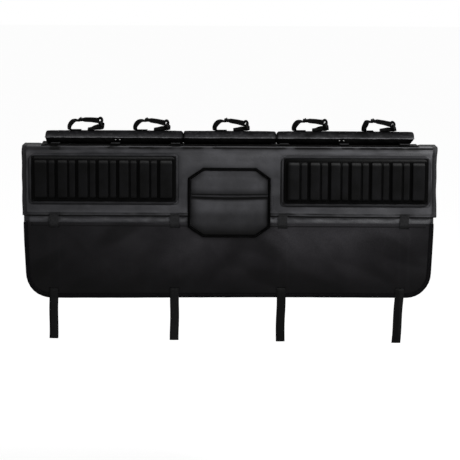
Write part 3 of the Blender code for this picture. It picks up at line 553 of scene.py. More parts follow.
def panelShade(co):
    # painted shade: below the fold and under the tabs, along the hem's seam, round the rims and
    # beside the window
    drop = dropOf(co)
    tab = max(fade(0.013, 0.018, abs(co.x - x)) for x in (-0.612, -0.405, -0.190))
    # on the top: painted shade at the rear of both ends, under the tabs and towards the left
    if -co.y < tailgate["half"] - 0.004:
        rear = 0.95 * ease(-0.022, 0.0, co.y) * ease(0.640, 0.665, abs(co.x))
        return layered(rear, 0.9 * tab, 0.45 * fade(-0.52, -0.40, co.x))
    uneven = 0.5 + 0.9 * cloudAt(co.x / 0.035, drop / 0.05, 31)
    dashes = 0.35 + 0.65 * ease(-0.25, 0.10, cloudAt(co.x / 0.030, 0.4, 34))
    dashes = max(dashes, ease(0.60, 0.64, co.x)) * ease(-0.47, -0.42, co.x)
    low = 0.97 * dashes * ease(0.0012, 0.0030, drop) * fade(0.0068, 0.0098, drop)
    low = max(low, 0.97 * fade(0.0145, 0.0185, abs(co.x + 0.609)) * fade(0.0105, 0.0155, drop))
    low += 0.45 * (0.4 + uneven) * fade(0.0075, 0.0230, drop) * ease(0.0026, 0.0044, drop)
    drop -= hemSink(co.x) * ease(0.205, 0.238, drop)
    left = 1 - 0.75 * ease(0.15, 0.55, co.x)
    valley = exp(-((drop - 0.2340) / (0.0030 + 0.0020 * ease(0.5, 0.65, co.x))) ** 2)
    hem = (0.42 + 0.25 * ease(-0.2, 0.2, co.x)) * (0.5 + 0.6 * uneven) * valley
    hem += 0.99 * ease(0.2394, 0.2404, drop)
    hem += left * (0.15 + 0.30 * uneven) * ease(0.2300, 0.2325, drop)
    rim = 0.0
    for place in bumperPlaces:
        away = bumperAway(co.x, drop, place)
        below = ease(0.0, 0.05, drop - place[1])
        rim = max(rim, (0.45 + 0.4 * below) * peak(away, 0.0118, 0.0013))
    side = 0.55 * exp(-max(windowGap(co.x, drop), 0.0) / 0.0030)
    side += 0.45 * ease(0.7065, 0.7115, abs(co.x))
    blotch = 0.28 * ease(0.05, 0.45, cloudAt(co.x / 0.16, drop / 0.10, 33))
    blotch += 0.35 * fade(-0.70, -0.45, co.x) * fade(0.012, 0.022, drop)
    blotch += 0.14 * fade(-0.3, -0.1, co.x) * ease(0.195, 0.205, drop)
    blotch += 0.20 * peak(co.x, 0.170, 0.020)
    return layered(min(low, 1), min(hem, 0.97), rim, side, blotch)


def panelHighlightAndWear(co):
    # painted highlights along the fold, near the hem and towards the lit right end, with some wear
    drop = dropOf(co)
    edge = exp(-abs(drop - 0.0005) / 0.0018) * (0.45 + 0.55 * ease(-0.55, -0.40, co.x))
    edge += 0.30 * exp(-abs(drop - 0.227) / 0.003)
    edge += 0.45 * peak(drop, 0.028, 0.012) * ease(-0.25, 0.1, co.x)
    edge += 0.30 * peak(drop, 0.056, 0.016) * peak(co.x, 0.0, 0.13)
    edge += 0.72 * ease(0.52, 0.68, co.x) * (1 - 0.72 * ease(0.03, 0.2, drop))
    edge += 0.50 * peak(drop, 0.030, 0.010) * fade(-0.60, -0.45, co.x)
    edge += 0.30 * ease(0.1, 0.5, cloudAt(co.x / 0.12, drop / 0.07, 35)) * ease(-0.5, 0.5, co.x)
    return edge


seamDrops = (0.0032, 0.0046, 0.0058, 0.0068, 0.0080, 0.0095, 0.0115, 0.0140, 0.0170, 0.2290,
             0.2305, 0.2320, 0.2340, 0.2360, 0.2378, 0.2392, 0.2406, 0.2420, 0.2434, 0.2446)
seamRows = [tailgate["fold"] - d for d in seamDrops]
rimColumns, rimRows = rimLines(bumperPlaces, (0.0098, 0.0108, 0.0118, 0.0128, 0.0142))
softCopy("outerPanelCloth", "outer_panel", coatedCanvas,
         [(0, panelCloth["cell"], rimColumns), (2, panelCloth["cell"], seamRows + rimRows),
          (1, 0.012)], panelMove, rub=panelHighlightAndWear, shade=panelShade)
for drop in (0.2335, 0.2395):
    for side in (-1, 1):
        sew("panelStitches", [frontPoint(side * x, drop, 0.0133) for x in (0.160, 0.705)])
sew("panelStitches", [frontPoint(-0.704 + i * 0.0088, panelCloth["seamDrop"], 0.0114)
                      for i in range(161)])
for side in (-1, 1):
    for by in (0.0045, 0.0105):
        sew("panelStitches", [frontPoint(side * (windowShape["half"] + by), d, 0.0126)
                              for d in (0.118, 0.228)])
print("outer panel made")

# Side bindings: tape folded over the panel's sides

for end, side in (("Left", -1), ("Right", 1)):
    def tapeMove(co, side=side):
        drop = dropOf(co)
        if -co.y > 0.05 and drop > 0.01:
            co.y -= 0.0003 * (1 + sin(drop * 2 * pi / 0.019))
            co.x += side * 0.0005 * sin(drop * 2 * pi / 0.083)
        if side > 0 and co.y < 0:
            co.x -= rightPull(0.715, drop)
        return co

    def tapeShade(co):
        # painted shade towards the tape's outer edge
        return 0.75 * exp(-max(abs(co.x) - 0.7075, 0) / 0.0015)

    # the right tape is painted lighter, as highlight
    softCopy(f"sideTape{end}", f"side_binding_{end.lower()}", sideTape,
             [(2, 0.006), (1, 0.012)], tapeMove, shade=tapeShade,
             rub=lambda co, side=side: 0.75 if side > 0 else 0.12)
    sew("tapeStitches", [frontPoint(side * 0.7120, 0.004 + i * 0.007, 0.0138) for i in range(34)])
print("side tapes made")

# Apron, its tape and the tension straps move as one hanging sheet

apronCloth = {"cell": 0.0080, "top": 0.267, "low": 0.529, "half": 0.7168, "belly": 0.0030,
              "wave": 0.0034, "waveSize": 0.21, "fold": 0.0022, "foldSize": 0.085}


def apronOut(x, drop):
    c = apronCloth
    d = min(drop, c["low"])
    free = ease(c["top"] + 0.004, c["top"] + 0.060, d)
    depth = (d - c["top"]) / (c["low"] - c["top"])
    out = c["belly"] * sin(pi * min(max(depth, 0), 1) ** 0.8)
    out += c["wave"] * (0.5 + cloudAt(x / c["waveSize"], d / c["waveSize"], 5))
    leaning = x * 0.75 - d * 0.66
    out += c["fold"] * foldsAt(leaning / c["foldSize"], d / c["foldSize"] / 3, 6) ** 3
    out *= free * (0.35 + 0.65 * ease(0.0, 0.03, windowGap(x, d)))
    return max(out, -0.0002) * fade(c["low"] + 0.004, c["low"] + 0.11, drop)


def apronSink(x, drop):
    # the apron hangs a little lower at its left end
    return 0.0062 * ease(0.40, 0.52, drop) * fade(-0.70, 0.30, x)


def apronMove(co):
    drop = dropOf(co)
    co.y -= apronOut(co.x, drop)
    co.x -= 0.0028 * ease(0.635, 0.690, abs(co.x))
    co.z -= apronSink(co.x, drop)
    return co


def streaks(x, drop, seed):
    # long soft creases that rise to the right on the left half and fall on the right half
    rising = cloudAt((x * 0.80 - drop * 0.60) / 0.24, (drop * 0.80 + x * 0.60) / 0.070, seed)
    falling = cloudAt((x * 0.90 + drop * 0.44) / 0.24, (drop * 0.90 - x * 0.44) / 0.070, seed + 9)
    right = ease(-0.10, 0.15, x)
    return rising * (1 - right) + falling * right


def apronShade(co):
    # painted shade: darker at both ends and towards the foot, along two hem lines, in the creases
    # and beside the window
    drop = dropOf(co)
    left = 0.60 * fade(-0.68, -0.10, co.x) + 0.44 * ease(0.54, 0.70, co.x)
    low = 0.70 * ease(0.36, 0.52, drop) * (0.75 + 0.25 * ease(-0.3, 0.2, co.x))
    line = 0.55 * peak(drop, 0.2795, 0.0018) + 0.5 * peak(drop, 0.5180, 0.002)
    blotch = 0.45 * ease(-0.02, 0.40, streaks(co.x, drop, 41))
    gap = 0.6 * exp(-max(windowGap(co.x, drop) - 0.002, 0.0) / 0.0060)
    return layered(left, low, line, blotch, gap)


def apronHighlightAndWear(co):
    # painted highlights along its top hems, on crease crests, in a broad patch at upper right and
    # beside the straps, with some wear
    drop = dropOf(co)
    edge = 0.9 * exp(-abs(drop - 0.267) / 0.003) + 0.6 * exp(-abs(drop - 0.279) / 0.002)
    crest = ease(-0.02, 0.40, streaks(co.x, drop, 44)) * (0.35 + 0.65 * ease(-0.35, 0.20, co.x))
    edge += 0.40 * crest * fade(0.42, 0.52, drop)
    edge += 0.68 * peak(co.x, 0.42, 0.28) * peak(drop, 0.305, 0.065)
    edge += 0.16 * peak(co.x, -0.10, 0.35) * peak(drop, 0.330, 0.09)
    for x in strapPlaces:
        side = min(abs(abs(co.x - x) - 0.0165), 0.02)
        edge += 0.22 * exp(-side / 0.0022) * ease(0.29, 0.31, drop) * fade(0.49, 0.51, drop)
    return min(edge, 1.0) * 0.7


softCopy("apronCloth", "apron", smoothNylon,
         [(0, apronCloth["cell"]), (2, apronCloth["cell"])], apronMove,
         rub=apronHighlightAndWear, shade=apronShade)
softCopy("apronTape", "apron_binding", apronEdge, [(0, 0.010), (2, 0.010)],
         apronMove)
for side in (-1, 1):
    sew("apronStitches", [frontPoint(side * (0.158 + 0.55 * i / 60), 0.2715, 0.0134)
                          for i in range(61)])
lowRow = [(-0.612 + 1.224 * i / 150, 0.520) for i in range(151)]
sew("apronStitches", [frontPoint(x, d + apronSink(x, d), 0.0136 + apronOut(x, d))
                      for x, d in lowRow])
for side in (-1, 1):
    curve = []
    for i in range(61):
        t = i / 60
        if t < 0.6:
            x, d = apronCloth["half"] - 0.0120 - 0.0045 * t / 0.6, 0.285 + 0.157 * t / 0.6
        else:
            a = (t - 0.6) / 0.4 * pi / 2
            x, d = 0.6228 + 0.0775 * cos(a), 0.442 + 0.0775 * sin(a)
        curve.append(frontPoint(side * x, d + apronSink(side * x, d),
                                0.0136 + apronOut(side * x, d)))
    sew("apronStitches", curve)
print("apron made")

# Bands between the panel's hem and the apron

bandRows = [tailgate["fold"] - d for d in (0.2440, 0.2450, 0.2460, 0.2474, 0.2490, 0.2506)]


def bandMove(co):
    drop = dropOf(co)
    co.x -= 0.0028 * ease(0.635, 0.690, abs(co.x))
    if outOf(co) > 0.0090:
        co.y += 0.0006 * exp(-abs(drop - 0.2435) / 0.003)
        co.y -= 0.0007 * foldsAt(co.x / 0.05, drop / 0.02, 9) ** 2
    return co


def bandShade(co):
    # painted shadow, black under the panel's hem; darker at its foot and its outer end
    drop = dropOf(co)
    top = 0.99 * fade(0.2462, 0.2472, drop - hemSink(co.x))
    return top + 0.25 * ease(0.258, 0.266, drop) + 0.70 * ease(0.6970, 0.7000, abs(co.x))


def bandHighlightAndTone(co):
    # painted highlight growing towards the lit right end, with uneven tone
    return 0.95 * ease(0.0, 0.5, co.x) + 0.9 * cloudAt(co.x / 0.03, co.z / 0.012, 51)


for side in ("Left", "Right"):
    softCopy(f"joiningBand{side}", f"joining_band_{side.lower()}", coatedCanvas,
             [(0, 0.008), (2, 0.004, bandRows)], bandMove, rub=bandHighlightAndTone, shade=bandShade)
print("bands made")

# Panel on the bed side and its tape

innerCloth = {"cell": 0.0100, "billow": 0.0022, "size": 0.12}


def innerOut(x, z):
    c = innerCloth
    depth = ease(-0.03, -0.09, z)
    free = depth * ease(-0.298, -0.270, z)
    free *= ease(0.0, 0.03, 0.700 - abs(x))
    for sx in strapPlaces:
        free *= layered(ease(-0.255, -0.215, z), ease(0.018, 0.032, abs(x - sx)))
    out = c["billow"] * (0.5 + cloudAt(x / c["size"], z / c["size"], 11))
    out += 0.0009 * foldsAt((x + z) / 0.09, z / 0.2, 12) ** 3
    return max(out, 0.0) * max(free, 0.0)


def innerMove(co):
    if co.y - tailgate["half"] > 0.0105:
        co.y += innerOut(co.x, co.z)
    return co


softCopy("bedSidePanel", "inner_panel", coatedCanvas,
         [(0, innerCloth["cell"]), (2, innerCloth["cell"])], innerMove)
softCopy("bedSideTape", "inner_binding", bindingTape, [(0, 0.012), (2, 0.010)])
sew("bedSideStitches", [Vector((-0.675 + 1.35 * i / 150, 0.0590, -0.2895)) for i in range(151)])
for side in (-1, 1):
    sew("bedSideStitches", [Vector((side * 0.7105, 0.0590, -0.028 - 0.228 * i / 40))
                            for i in range(41)])
print("bed-side panel made")

# Lining and foam body

softCopy("fleeceLining", "lining", brushedFleece, [(0, 0.030), (2, 0.020)])


def foamMove(co):
    # the foam's lower edge is soft and a little uneven
    drop = dropOf(co)
    if drop > 0.45 and -co.y > 0.0485:
        co.y -= 0.0003 * (1 + sin(co.x * 31))
    if co.y < 0:
        co.z -= apronSink(co.x, drop)
    return co


foamBody = softCopy("foamBody", "pad_shell", facedFoam, [(0, 0.020), (2, 0.015)],
                    foamMove)
print("lining and foam made")

# Window: taped edge and two flaps

flapCloth = {"cell": 0.0060, "half": 0.134, "sag": 0.0030, "belly": 0.0026, "groove": 0.0035}


def middleShare(co):
    return 1 - min(abs(co.x) / flapCloth["half"], 1.0) ** 2


def windowMove(co):
    drop = dropOf(co)
    ripple = 0.0005 * sin(co.x * 2 * pi / 0.030 + drop * 60)
    if outOf(co) > 0.013:
        co.y += ripple
        if co.x > 0.09:
            co.y -= 0.0008 * ease(0.09, 0.14, co.x)
    if co.x < -0.09:
        co.x -= 0.0030 * ease(0.09, 0.13, -co.x)
    return co


softCopy("windowTape", "window_binding", bindingTape, [(0, 0.008), (2, 0.008)],
         windowMove)


def upperFlapMove(co):
    # the free lip bows down and out in the middle
    drop = dropOf(co)
    middle = middleShare(co)
    low = ease(0.140, 0.170, drop)
    out = outOf(co)
    if drop > 0.168:
        co.z += (drop - 0.168) * 0.50
    co.z -= flapCloth["sag"] * low * middle
    if out > 0.0085:
        co.y -= (0.0012 + 0.0030 * middle) * low
    if out > 0.0125:
        co.y += flapCloth["groove"] * peak(drop, 0.1665, 0.0022)
    edge = min(ease(0.0, 0.03, -0.009 - windowGap(co.x, min(drop, 0.17))), 1.0)
    if out > 0.0095:
        co.y -= flapCloth["belly"] * edge * (1 - low) * 0.8
        co.y -= 0.0005 * cloudAt(co.x / 0.05, drop / 0.04, 21) * edge
    return co


def lowerFlapMove(co):
    # the lower flap leans back at its foot, where it falls into shade
    drop = dropOf(co)
    out = outOf(co)
    if out > 0.0092:
        edge = ease(0.0, 0.035, -0.009 - windowGap(co.x, drop))
        co.y -= flapCloth["belly"] * edge * ease(0.183, 0.205, drop) * fade(0.22, 0.31, drop)
        co.y -= 0.0006 * cloudAt(co.x / 0.06, drop / 0.06, 22) * edge * ease(0.183, 0.20, drop)
    return co


def flapEdge(co):
    # painted shade towards the window's edges
    inside = -windowGap(co.x, min(max(dropOf(co), 0.10), 0.30))
    dark = 0.72 * fade(0.006, 0.036, inside)
    return max(dark, 0.96 * fade(0.006, 0.013, inside) * ease(0.05, 0.10, co.x))


def upperFlapShade(co):
    # painted shade: darker towards its edges and above the lip, black in the lip's groove and under
    # it
    drop = dropOf(co)
    middle = middleShare(co)
    above = 0.70 * ease(0.140, 0.1640, drop) * fade(0.1690, 0.1700, drop)
    groove = peak(drop, 0.1678, 0.0026)
    groove = max(groove, 0.64 * ease(0.168, 0.1695, drop))
    under = ease(0.1722, 0.1734, drop - 0.0030 * middle)
    edge = flapEdge(co) * fade(0.160, 0.165, drop)
    return layered(above, 0.99 * groove, 0.98 * under, edge)


def lowerFlapShade(co):
    # painted shadow under the upper flap's lip, and painted shade darkening towards its foot
    drop = dropOf(co)
    middle = middleShare(co)
    lip = 1 - ease(0.1800 + 0.0030 * middle, 0.1875 + 0.0060 * middle, drop)
    foot = 0.50 * ease(0.214, 0.243, drop) + 0.27 * ease(0.262, 0.292, drop)
    foot += 0.17 * ease(0.290, 0.305, drop)
    return layered(0.99 * lip, foot, flapEdge(co))


lipRows = [tailgate["fold"] - d for d in (0.1630, 0.1650, 0.1665, 0.1680, 0.1700, 0.1730, 0.1760)]
upperFlap = softCopy("upperFlap", "upper_flap", coatedCanvas,
                     [(0, flapCloth["cell"]), (2, flapCloth["cell"], lipRows)], upperFlapMove,
                     shade=upperFlapShade)
lowerRows = [tailgate["fold"] - d for d in (0.1760, 0.1780, 0.1800, 0.1820, 0.1840, 0.1870)]
lowerFlap = softCopy("lowerFlap", "lower_flap", coatedCanvas,
                     [(0, flapCloth["cell"]), (2, flapCloth["cell"], lowerRows)], lowerFlapMove,
                     shade=lowerFlapShade)
sew("windowStitches", windowLine(-0.0045, 0.0153), closed=True)
print("window made")

# Bumpers: a foam plate with wide ribs and lower steps, one moulding each

bumperForm = {"width": 0.500, "height": 0.156, "corner": 0.014, "plate": 0.0050, "edge": 0.0024,
              "back": 0.0124, "ribCount": 7, "ribPitch": 0.0713, "ribWide": 0.0322,
              "endExtra": 0.0090, "groove": 0.0066, "stepWide": 0.0215, "ribHigh": 0.0120,
              "stepHigh": 0.0085, "ribTop": 0.0448, "ribLength": 0.1392, "rampTop": 0.0120,
              "rampLow": 0.0085, "round": 0.0030, "taper": 0.0012}


def ribBlank(name, wide, high, extraLeft=0.0, extraRight=0.0):
    # one rib as rounded sections from its upper ramp to its lower one, at x = 0
    f = bumperForm
    bm = bmesh.new()
    long, top, low = f["ribLength"], f["rampTop"], f["rampLow"]
    stations = [(0.0, 0.02), (0.10, 0.16), (0.45, 0.62), (0.75, 0.90), (1.0, 1.0)]
    rows = [(s * top, h) for s, h in stations]
    rows += [(top + 0.004, 1.0), (long * 0.5, 1.0), (long - low - 0.004, 1.0)]
    rows += [(long - s * low, h) for s, h in reversed(stations)]
    profile = []
    r = f["round"]
    for k in range(5):
        a = pi / 2 * k / 4
        profile.append((r - r * cos(a), -r + r * sin(a)))
    rings = []
    for down, share in rows:
        z = tailgate["fold"] - f["ribTop"] - down
        crown = high * share
        shrink = 0.0015 * (1 - share)
        left, right = -extraLeft + shrink, wide + extraRight - shrink
        line = [(left - f["taper"], -0.0015)]
        line += [(left + a, max(crown + b, 0.0)) for a, b in profile]
        line += [(left + (right - left) * t, crown + 0.0005 * share) for t in (0.35, 0.65)]
        line += [(right - a, max(crown + b, 0.0)) for a, b in reversed(profile)]
        line += [(right + f["taper"], -0.0015)]
        face = tailgate["half"] + f["back"] + f["plate"]
        rings.append([(x, -face - h, z) for x, h in line])
    skin(bm, rings)
    return newObject(name, bm)


def ribTree():
    tree, given = startTree("ribRow", [("Count", "Int"), ("Start", "Vector"), ("Step", "Vector")])
    row = addNode(tree, "GeometryNodeMeshLine",
                  {"Count": given["Count"], "Start Location": given["Start"],
                   "Offset": given["Step"]}, mode="OFFSET")
    placed = addNode(tree, "GeometryNodeInstanceOnPoints",
                     {"Points": row.outputs[0], "Instance": given["Geometry"]})
    return endTree(tree, placed, given["Finish"])


def roundOutline(width, height, radius, steps, centreX, centreZ):
    line = []
    for cx, cz, start in ((1, 1, 0), (-1, 1, 90), (-1, -1, 180), (1, -1, 270)):
        for k in range(steps + 1):
            a = radians(start + 90 * k / steps)
            line.append((centreX + cx * (width / 2 - radius) + radius * cos(a),
                         centreZ + cz * (height / 2 - radius) + radius * sin(a)))
    return line


def plateMesh(centreX, lower):
    f = bumperForm
    z = tailgate["fold"] - lower - 0.0355 - f["height"] / 2
    bm = bmesh.new()
    rings = []
    back = tailgate["half"] + f["back"]
    e = f["edge"]
    for inset, out in ((0.0006, 0.0), (0.0, 0.0006), (0.0, f["plate"] - e),
                       (e * 0.3, f["plate"] - e * 0.3), (e, f["plate"]),
                       (e * 2.2, f["plate"] + 0.0001), (0.012, f["plate"] - 0.0004)):
        outline = roundOutline(f["width"] - 2 * inset, f["height"] - 2 * inset,
                               max(f["corner"] - inset, 0.002), 6, centreX, z)
        rings.append([(a, -back - out, b) for a, b in outline])
    skin(bm, rings)
    return bm


rowTree = ribTree()
for title, node, centre, lower in (("ribbedBumperLeft", "bumper_left", -0.440, 0.0),
                                   ("ribbedBumperRight", "bumper_right", 0.440, 0.005)):
    f = bumperForm
    first = centre - ((f["ribCount"] - 1) * f["ribPitch"] + f["ribWide"]) / 2
    bm = plateMesh(centre, lower)
    plans = [("endRib", f["ribWide"], f["ribHigh"], f["endExtra"], 0.0, 1, first),
             ("wideRib", f["ribWide"], f["ribHigh"], 0.0, 0.0, f["ribCount"] - 2,
              first + f["ribPitch"]),
             ("farRib", f["ribWide"], f["ribHigh"], 0.0, f["endExtra"], 1,
              first + (f["ribCount"] - 1) * f["ribPitch"]),
             ("ribStep", f["stepWide"], f["stepHigh"], 0.0, 0.0, f["ribCount"] - 1,
              first + f["ribWide"] + f["groove"]),
             ("grooveFloor", f["groove"] + 0.006, 0.0040, 0.0, 0.0, f["ribCount"] - 1,
              first + f["ribWide"] - 0.003)]
    for label, wide, high, left, right, count, start in plans:
        blank = ribBlank(label, wide, high, left, right)
        applyTree(blank, rowTree, {"Count": count, "Start": (start, 0.0, -lower),
                                   "Step": (f["ribPitch"], 0.0, 0.0), "Finish": mouldedFoam})
        bm.from_mesh(blank.data)
        bpy.data.objects.remove(blank)

    def foamShade(co, lower=lower):
        # painted shade in the low gaps between ribs, under their lower ends, towards the left and at
        # the plate's end margin
        drop = dropOf(co) - lower
        high = outOf(co) - bumperForm["back"] - bumperForm["plate"]
        deep = 0.96 * fade(0.0030, 0.0078, high) * ease(0.0405, 0.0445, drop)
        foot = 0.97 * ease(0.1735, 0.1785, drop)
        left = 0.42 * fade(-0.70, 0.05, co.x)
        margin = 0.97 * fade(*(0.2050, 0.2095) if co.x > 0 else (-0.6835, -0.6800), co.x)
        return layered(deep, foot, left, margin)

    def foamHighlight(co, lower=lower):
        # painted highlights on the ribs' upper ramps and the plate's top margin
        drop = dropOf(co) - lower
        high = outOf(co) - bumperForm["back"] - bumperForm["plate"]
        ramp = peak(drop, 0.0505, 0.0045) * ease(0.001, 0.005, high)
        return 0.42 * ramp + 0.30 * fade(0.0405, 0.0450, drop)

    addPiece(title, bm, mouldedFoam, [node], sharp=50, rub=foamHighlight, shade=foamShade)

for title, node in (("bumperRimLeft", "bumper_rim_left"), ("bumperRimRight", "bumper_rim_right")):
    def rimMove(co):
        drop = dropOf(co)
        out = outOf(co) - 0.0124
        if out > 0.001:
            co.y -= 0.0003 * sin(2 * pi * (co.x + drop) / 0.016) * out / 0.0045
        return co

    place = bumperPlaces[0 if title.endswith("Left") else 1]

    def rimShade(co, place=place):
        # painted shade where it dips to the plate, lighter on its outer half
        drop = dropOf(co)
        away = bumperAway(co.x, drop, place)
        inner = 0.96 * fade(0.0010, 0.0042, away)
        foot = 0.55 * ease(0.0088, 0.0104, away)
        return layered(inner, foot, 0.40 * ease(0.0, 0.05, drop - place[1]))

    columns, rows = rimLines([place], (0.0015, 0.0030, 0.0045, 0.0060, 0.0085, 0.0098))
    softCopy(title, node, rimCanvas, [(0, 0.010, columns), (2, 0.010, rows)],
             rimMove, sharp=60, shade=rimShade)
print("bumpers made")

# Cushions: sewn covers blown up over their foam, with the seam as a lip half way up

cushionForm = {"voxel": 0.0050, "pressure": 4.0, "cap": 0.0060, "frames": 20, "lip": 0.0028,
               "crease": 0.0011, "creaseSize": 0.030, "bow": 0.0003, "top": 0.0627, "foot": 0.0157,
               "front": -0.016, "rear": 0.048}


def cushionBlank(name, low, high):
    # height share, drawn in beside another cushion, at the left and right ends and at the sides
    c = cushionForm
    rings = [(0.02, -0.0044, 0.0060, 0.0170, 0.016), (0.10, -0.0048, 0.0030, 0.0120, 0.0135),
             (0.28, -0.0050, 0.0008, 0.0060, 0.009), (0.46, -0.0050, -0.0010, 0.0010, 0.003),
             (0.54, -0.0050, -0.0012, 0.0, 0.002), (0.62, -0.0048, -0.0012, -0.0006, 0.006),
             (0.76, -0.0036, -0.0008, 0.0, 0.0115), (0.88, -0.0016, 0.0004, 0.0014, 0.0175),
             (0.96, 0.0004, 0.0022, 0.0034, 0.0235)]
    middleY = (c["front"] + c["rear"]) / 2
    bm = bmesh.new()
    rows = []
    for share, beside, leftEnd, rightEnd, sides in rings:
        left = low[0] + (leftEnd if low[0] < -0.5 else beside)
        right = high[0] - (rightEnd if high[0] > 0.5 else beside)
        outline = roundOutline(right - left, c["rear"] - c["front"] - 2 * sides, 0.007, 4,
                               (left + right) / 2, middleY)
        z = c["foot"] + (c["top"] - c["foot"]) * share
        rows.append([(a, b, z) for a, b in outline])
    skin(bm, rows)
    return newObject(name, bm)


def inflate(obj):
    c = cushionForm
    start = [v.co.copy() for v in obj.data.vertices]
    cloth = obj.modifiers.new("cover", "CLOTH")
    cloth.settings.use_pressure = True
    cloth.settings.uniform_pressure_force = c["pressure"]
    cloth.settings.effector_weights.gravity = 0
    cloth.settings.quality = 5
    cloth.point_cache.frame_start = 1
    cloth.point_cache.frame_end = c["frames"]
    for step in range(1, c["frames"] + 1):
        scene.frame_set(step)
    bakeModifier(obj)
    for v, was in zip(obj.data.vertices, start):
        move = v.co - was
        if move.length > c["cap"]:
            v.co = was + move.normalized() * c["cap"]
    scene.frame_set(1)


anchorPlaces = (-0.510, -0.275, 0.0, 0.275, 0.510)


def wrinkle(co, seed):
    # creases fan out from where the bike straps pull on the cover
    c = cushionForm
    pull = max(peak(co.x, a - s, 0.055) for a in anchorPlaces for s in (0.03, -0.045))
    size = c["creaseSize"]
    slant = (co.x + 0.9 * co.z) / size
    fine = foldsAt(slant * 1.3, (co.z - 0.7 * co.y) / size / 2.2, seed) ** 2
    broad = cloudAt(co.x / 0.09, (co.y + co.z) / 0.06, seed + 3)
    return c["crease"] * ((0.35 + 0.9 * pull) * fine + 0.9 * broad - 0.3)


def makeCushion(title, node, seed):
    c = cushionForm
    low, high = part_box(node)
    obj = cushionBlank(title, low, high)
    remesh = obj.modifiers.new("voxels", "REMESH")
    remesh.mode = "VOXEL"
    remesh.voxel_size = c["voxel"]
    bakeModifier(obj)
    inflate(obj)
    finer = obj.modifiers.new("finer", "SUBSURF")
    finer.levels = finer.render_levels = 1
    bakeModifier(obj)
    seamHigh = c["foot"] + (c["top"] - c["foot"]) * 0.5
    bm = bmesh.new()
    bm.from_mesh(obj.data)
    bm.normal_update()
    half = (high[0] - low[0]) / 2
    for v in bm.verts:
        n = v.normal.copy()
        nearSeam = ease(0.0, 0.006, abs(v.co.z - seamHigh))
        v.co += n * wrinkle(v.co, seed) * nearSeam
        end = min(abs(v.co.x - (low[0] + high[0]) / 2) / half, 1.0)
        v.co.z -= c["bow"] * ease(0.75, 1.0, end) * ease(0.2, 0.5, (v.co.z - c["foot"]) / 0.043)
        tall = c["top"] - 0.0004
        if v.co.z > tall - 0.003:
            over = (v.co.z - tall + 0.003) / 0.003
            v.co.z = tall - 0.003 + 0.0029 * (1 - exp(-over * 1.2))
        v.co.z = max(v.co.z, c["foot"] + 0.0001)
        v.co.x = min(max(v.co.x, low[0] - 0.0033), high[0] + 0.0033)
    tree = BVHTree.FromBMesh(bm)
    # the seam's lip: a flat fold of cloth that follows the cover all the way round
    outline = roundOutline(high[0] - low[0] + 0.02, 0.084, 0.012, 8, (low[0] + high[0]) / 2,
                           (c["front"] + c["rear"]) / 2)
    dense = []
    for (ax, ay), (bx, by) in zip(outline, outline[1:] + outline[:1]):
        steps = max(1, round(hypot(bx - ax, by - ay) / 0.006))
        dense += [(ax + (bx - ax) * k / steps, ay + (by - ay) * k / steps) for k in range(steps)]
    middle = Vector(((low[0] + high[0]) / 2, (c["front"] + c["rear"]) / 2, 0.0))
    track = []
    for x, y in dense:
        end = min(abs(x - middle.x) / half, 1.0)
        z = seamHigh - c["bow"] * 0.8 * ease(0.75, 1.0, end) + 0.0005 * sin(x * 41 + seed)
        inward = (Vector((min(max(x, low[0] + 0.02), high[0] - 0.02), middle.y, z))
                  - Vector((x, y, z)))
        hit, normal, _, _ = tree.ray_cast(Vector((x, y, z)), inward.normalized())
        if hit is None:
            continue
        outward = -inward.normalized()
        if track and (hit - track[-1][0]).length < 0.0015:
            continue
        track.append((hit, outward))
    section = [(-0.0010, -0.0011), (0.0010, -0.0010), (1.0, -0.0006), (1.0, 0.0006),
               (0.0010, 0.0010), (-0.0010, 0.0011)]
    rings = []
    for i, (hit, outward) in enumerate(track):
        reach = c["lip"] * (1 + 0.22 * sin(i * 1.9 + seed) * sin(i * 0.37))
        sway = 0.0004 * sin(i * 0.9)
        rings.append([hit + outward * (a * reach if a == 1.0 else a)
                      + Vector((0, 0, b + (sway if a == 1.0 else 0.0))) for a, b in section])
    for ring in skin(bm, rings, closed=True):
        for v in ring:
            v.co.x = min(max(v.co.x, low[0] - 0.0034), high[0] + 0.0034)
    bpy.data.objects.remove(obj)

    def lipHighlight(co):
        # painted highlight on the seam's lip and just above it, with small specks
        if co.z < seamHigh - 0.0016:
            return 0.0
        high = (co.z - seamHigh) / (c["top"] - seamHigh)
        speck = 0.10 * ease(0.1, 0.5, cloudAt(co.x / 0.012, co.z / 0.006, seed + 60))
        uneven = 0.78 + 0.5 * cloudAt(co.x / 0.07, 0.2, seed + 65) + 0.25 * ease(0.0, 0.4, co.x)
        return uneven * exp(-max(high, 0) / 0.10) + 0.10 * fade(0.0, 0.8, high) + speck

    def topShade(co):
        # painted shade on the upper face, at the rear of its top and where two cushions meet
        up = (co.z - seamHigh) / (c["top"] - seamHigh)
        mottle = 0.35 * ease(0.0, 0.5, cloudAt(co.x / 0.05, co.z / 0.02, seed + 70))
        beside = min(co.x - low[0] if low[0] > -0.5 else 1.0,
                     high[0] - co.x if high[0] < 0.5 else 1.0)
        crest = 0.9 * ease(0.0, 0.022, co.y) * ease(0.80, 0.95, up)
        face = ((0.30 * ease(0.35, 0.95, up) + mottle + 0.30 * ease(0.21, 0.30, co.x))
                * ease(0.05, 0.3, up))
        return layered(face, crest, 0.85 * fade(-0.001, 0.006, beside))

    # below the seam the cover takes the near-black cloth, as painted shade
    for face in bm.faces:
        face.material_index = 1 if face.calc_center_median().z < seamHigh - 0.0012 else 0
    piece = addPiece(title, bm, cushionCanvas, [node], sharp=60, rub=lipHighlight,
                     shade=topShade)
    piece.data.materials.append(shadeBlackCanvas)
    sew("cushionStitches", [hit + outward * 0.0003 + Vector((0, 0, 0.0042))
                            for hit, outward in track], closed=True)
    return piece


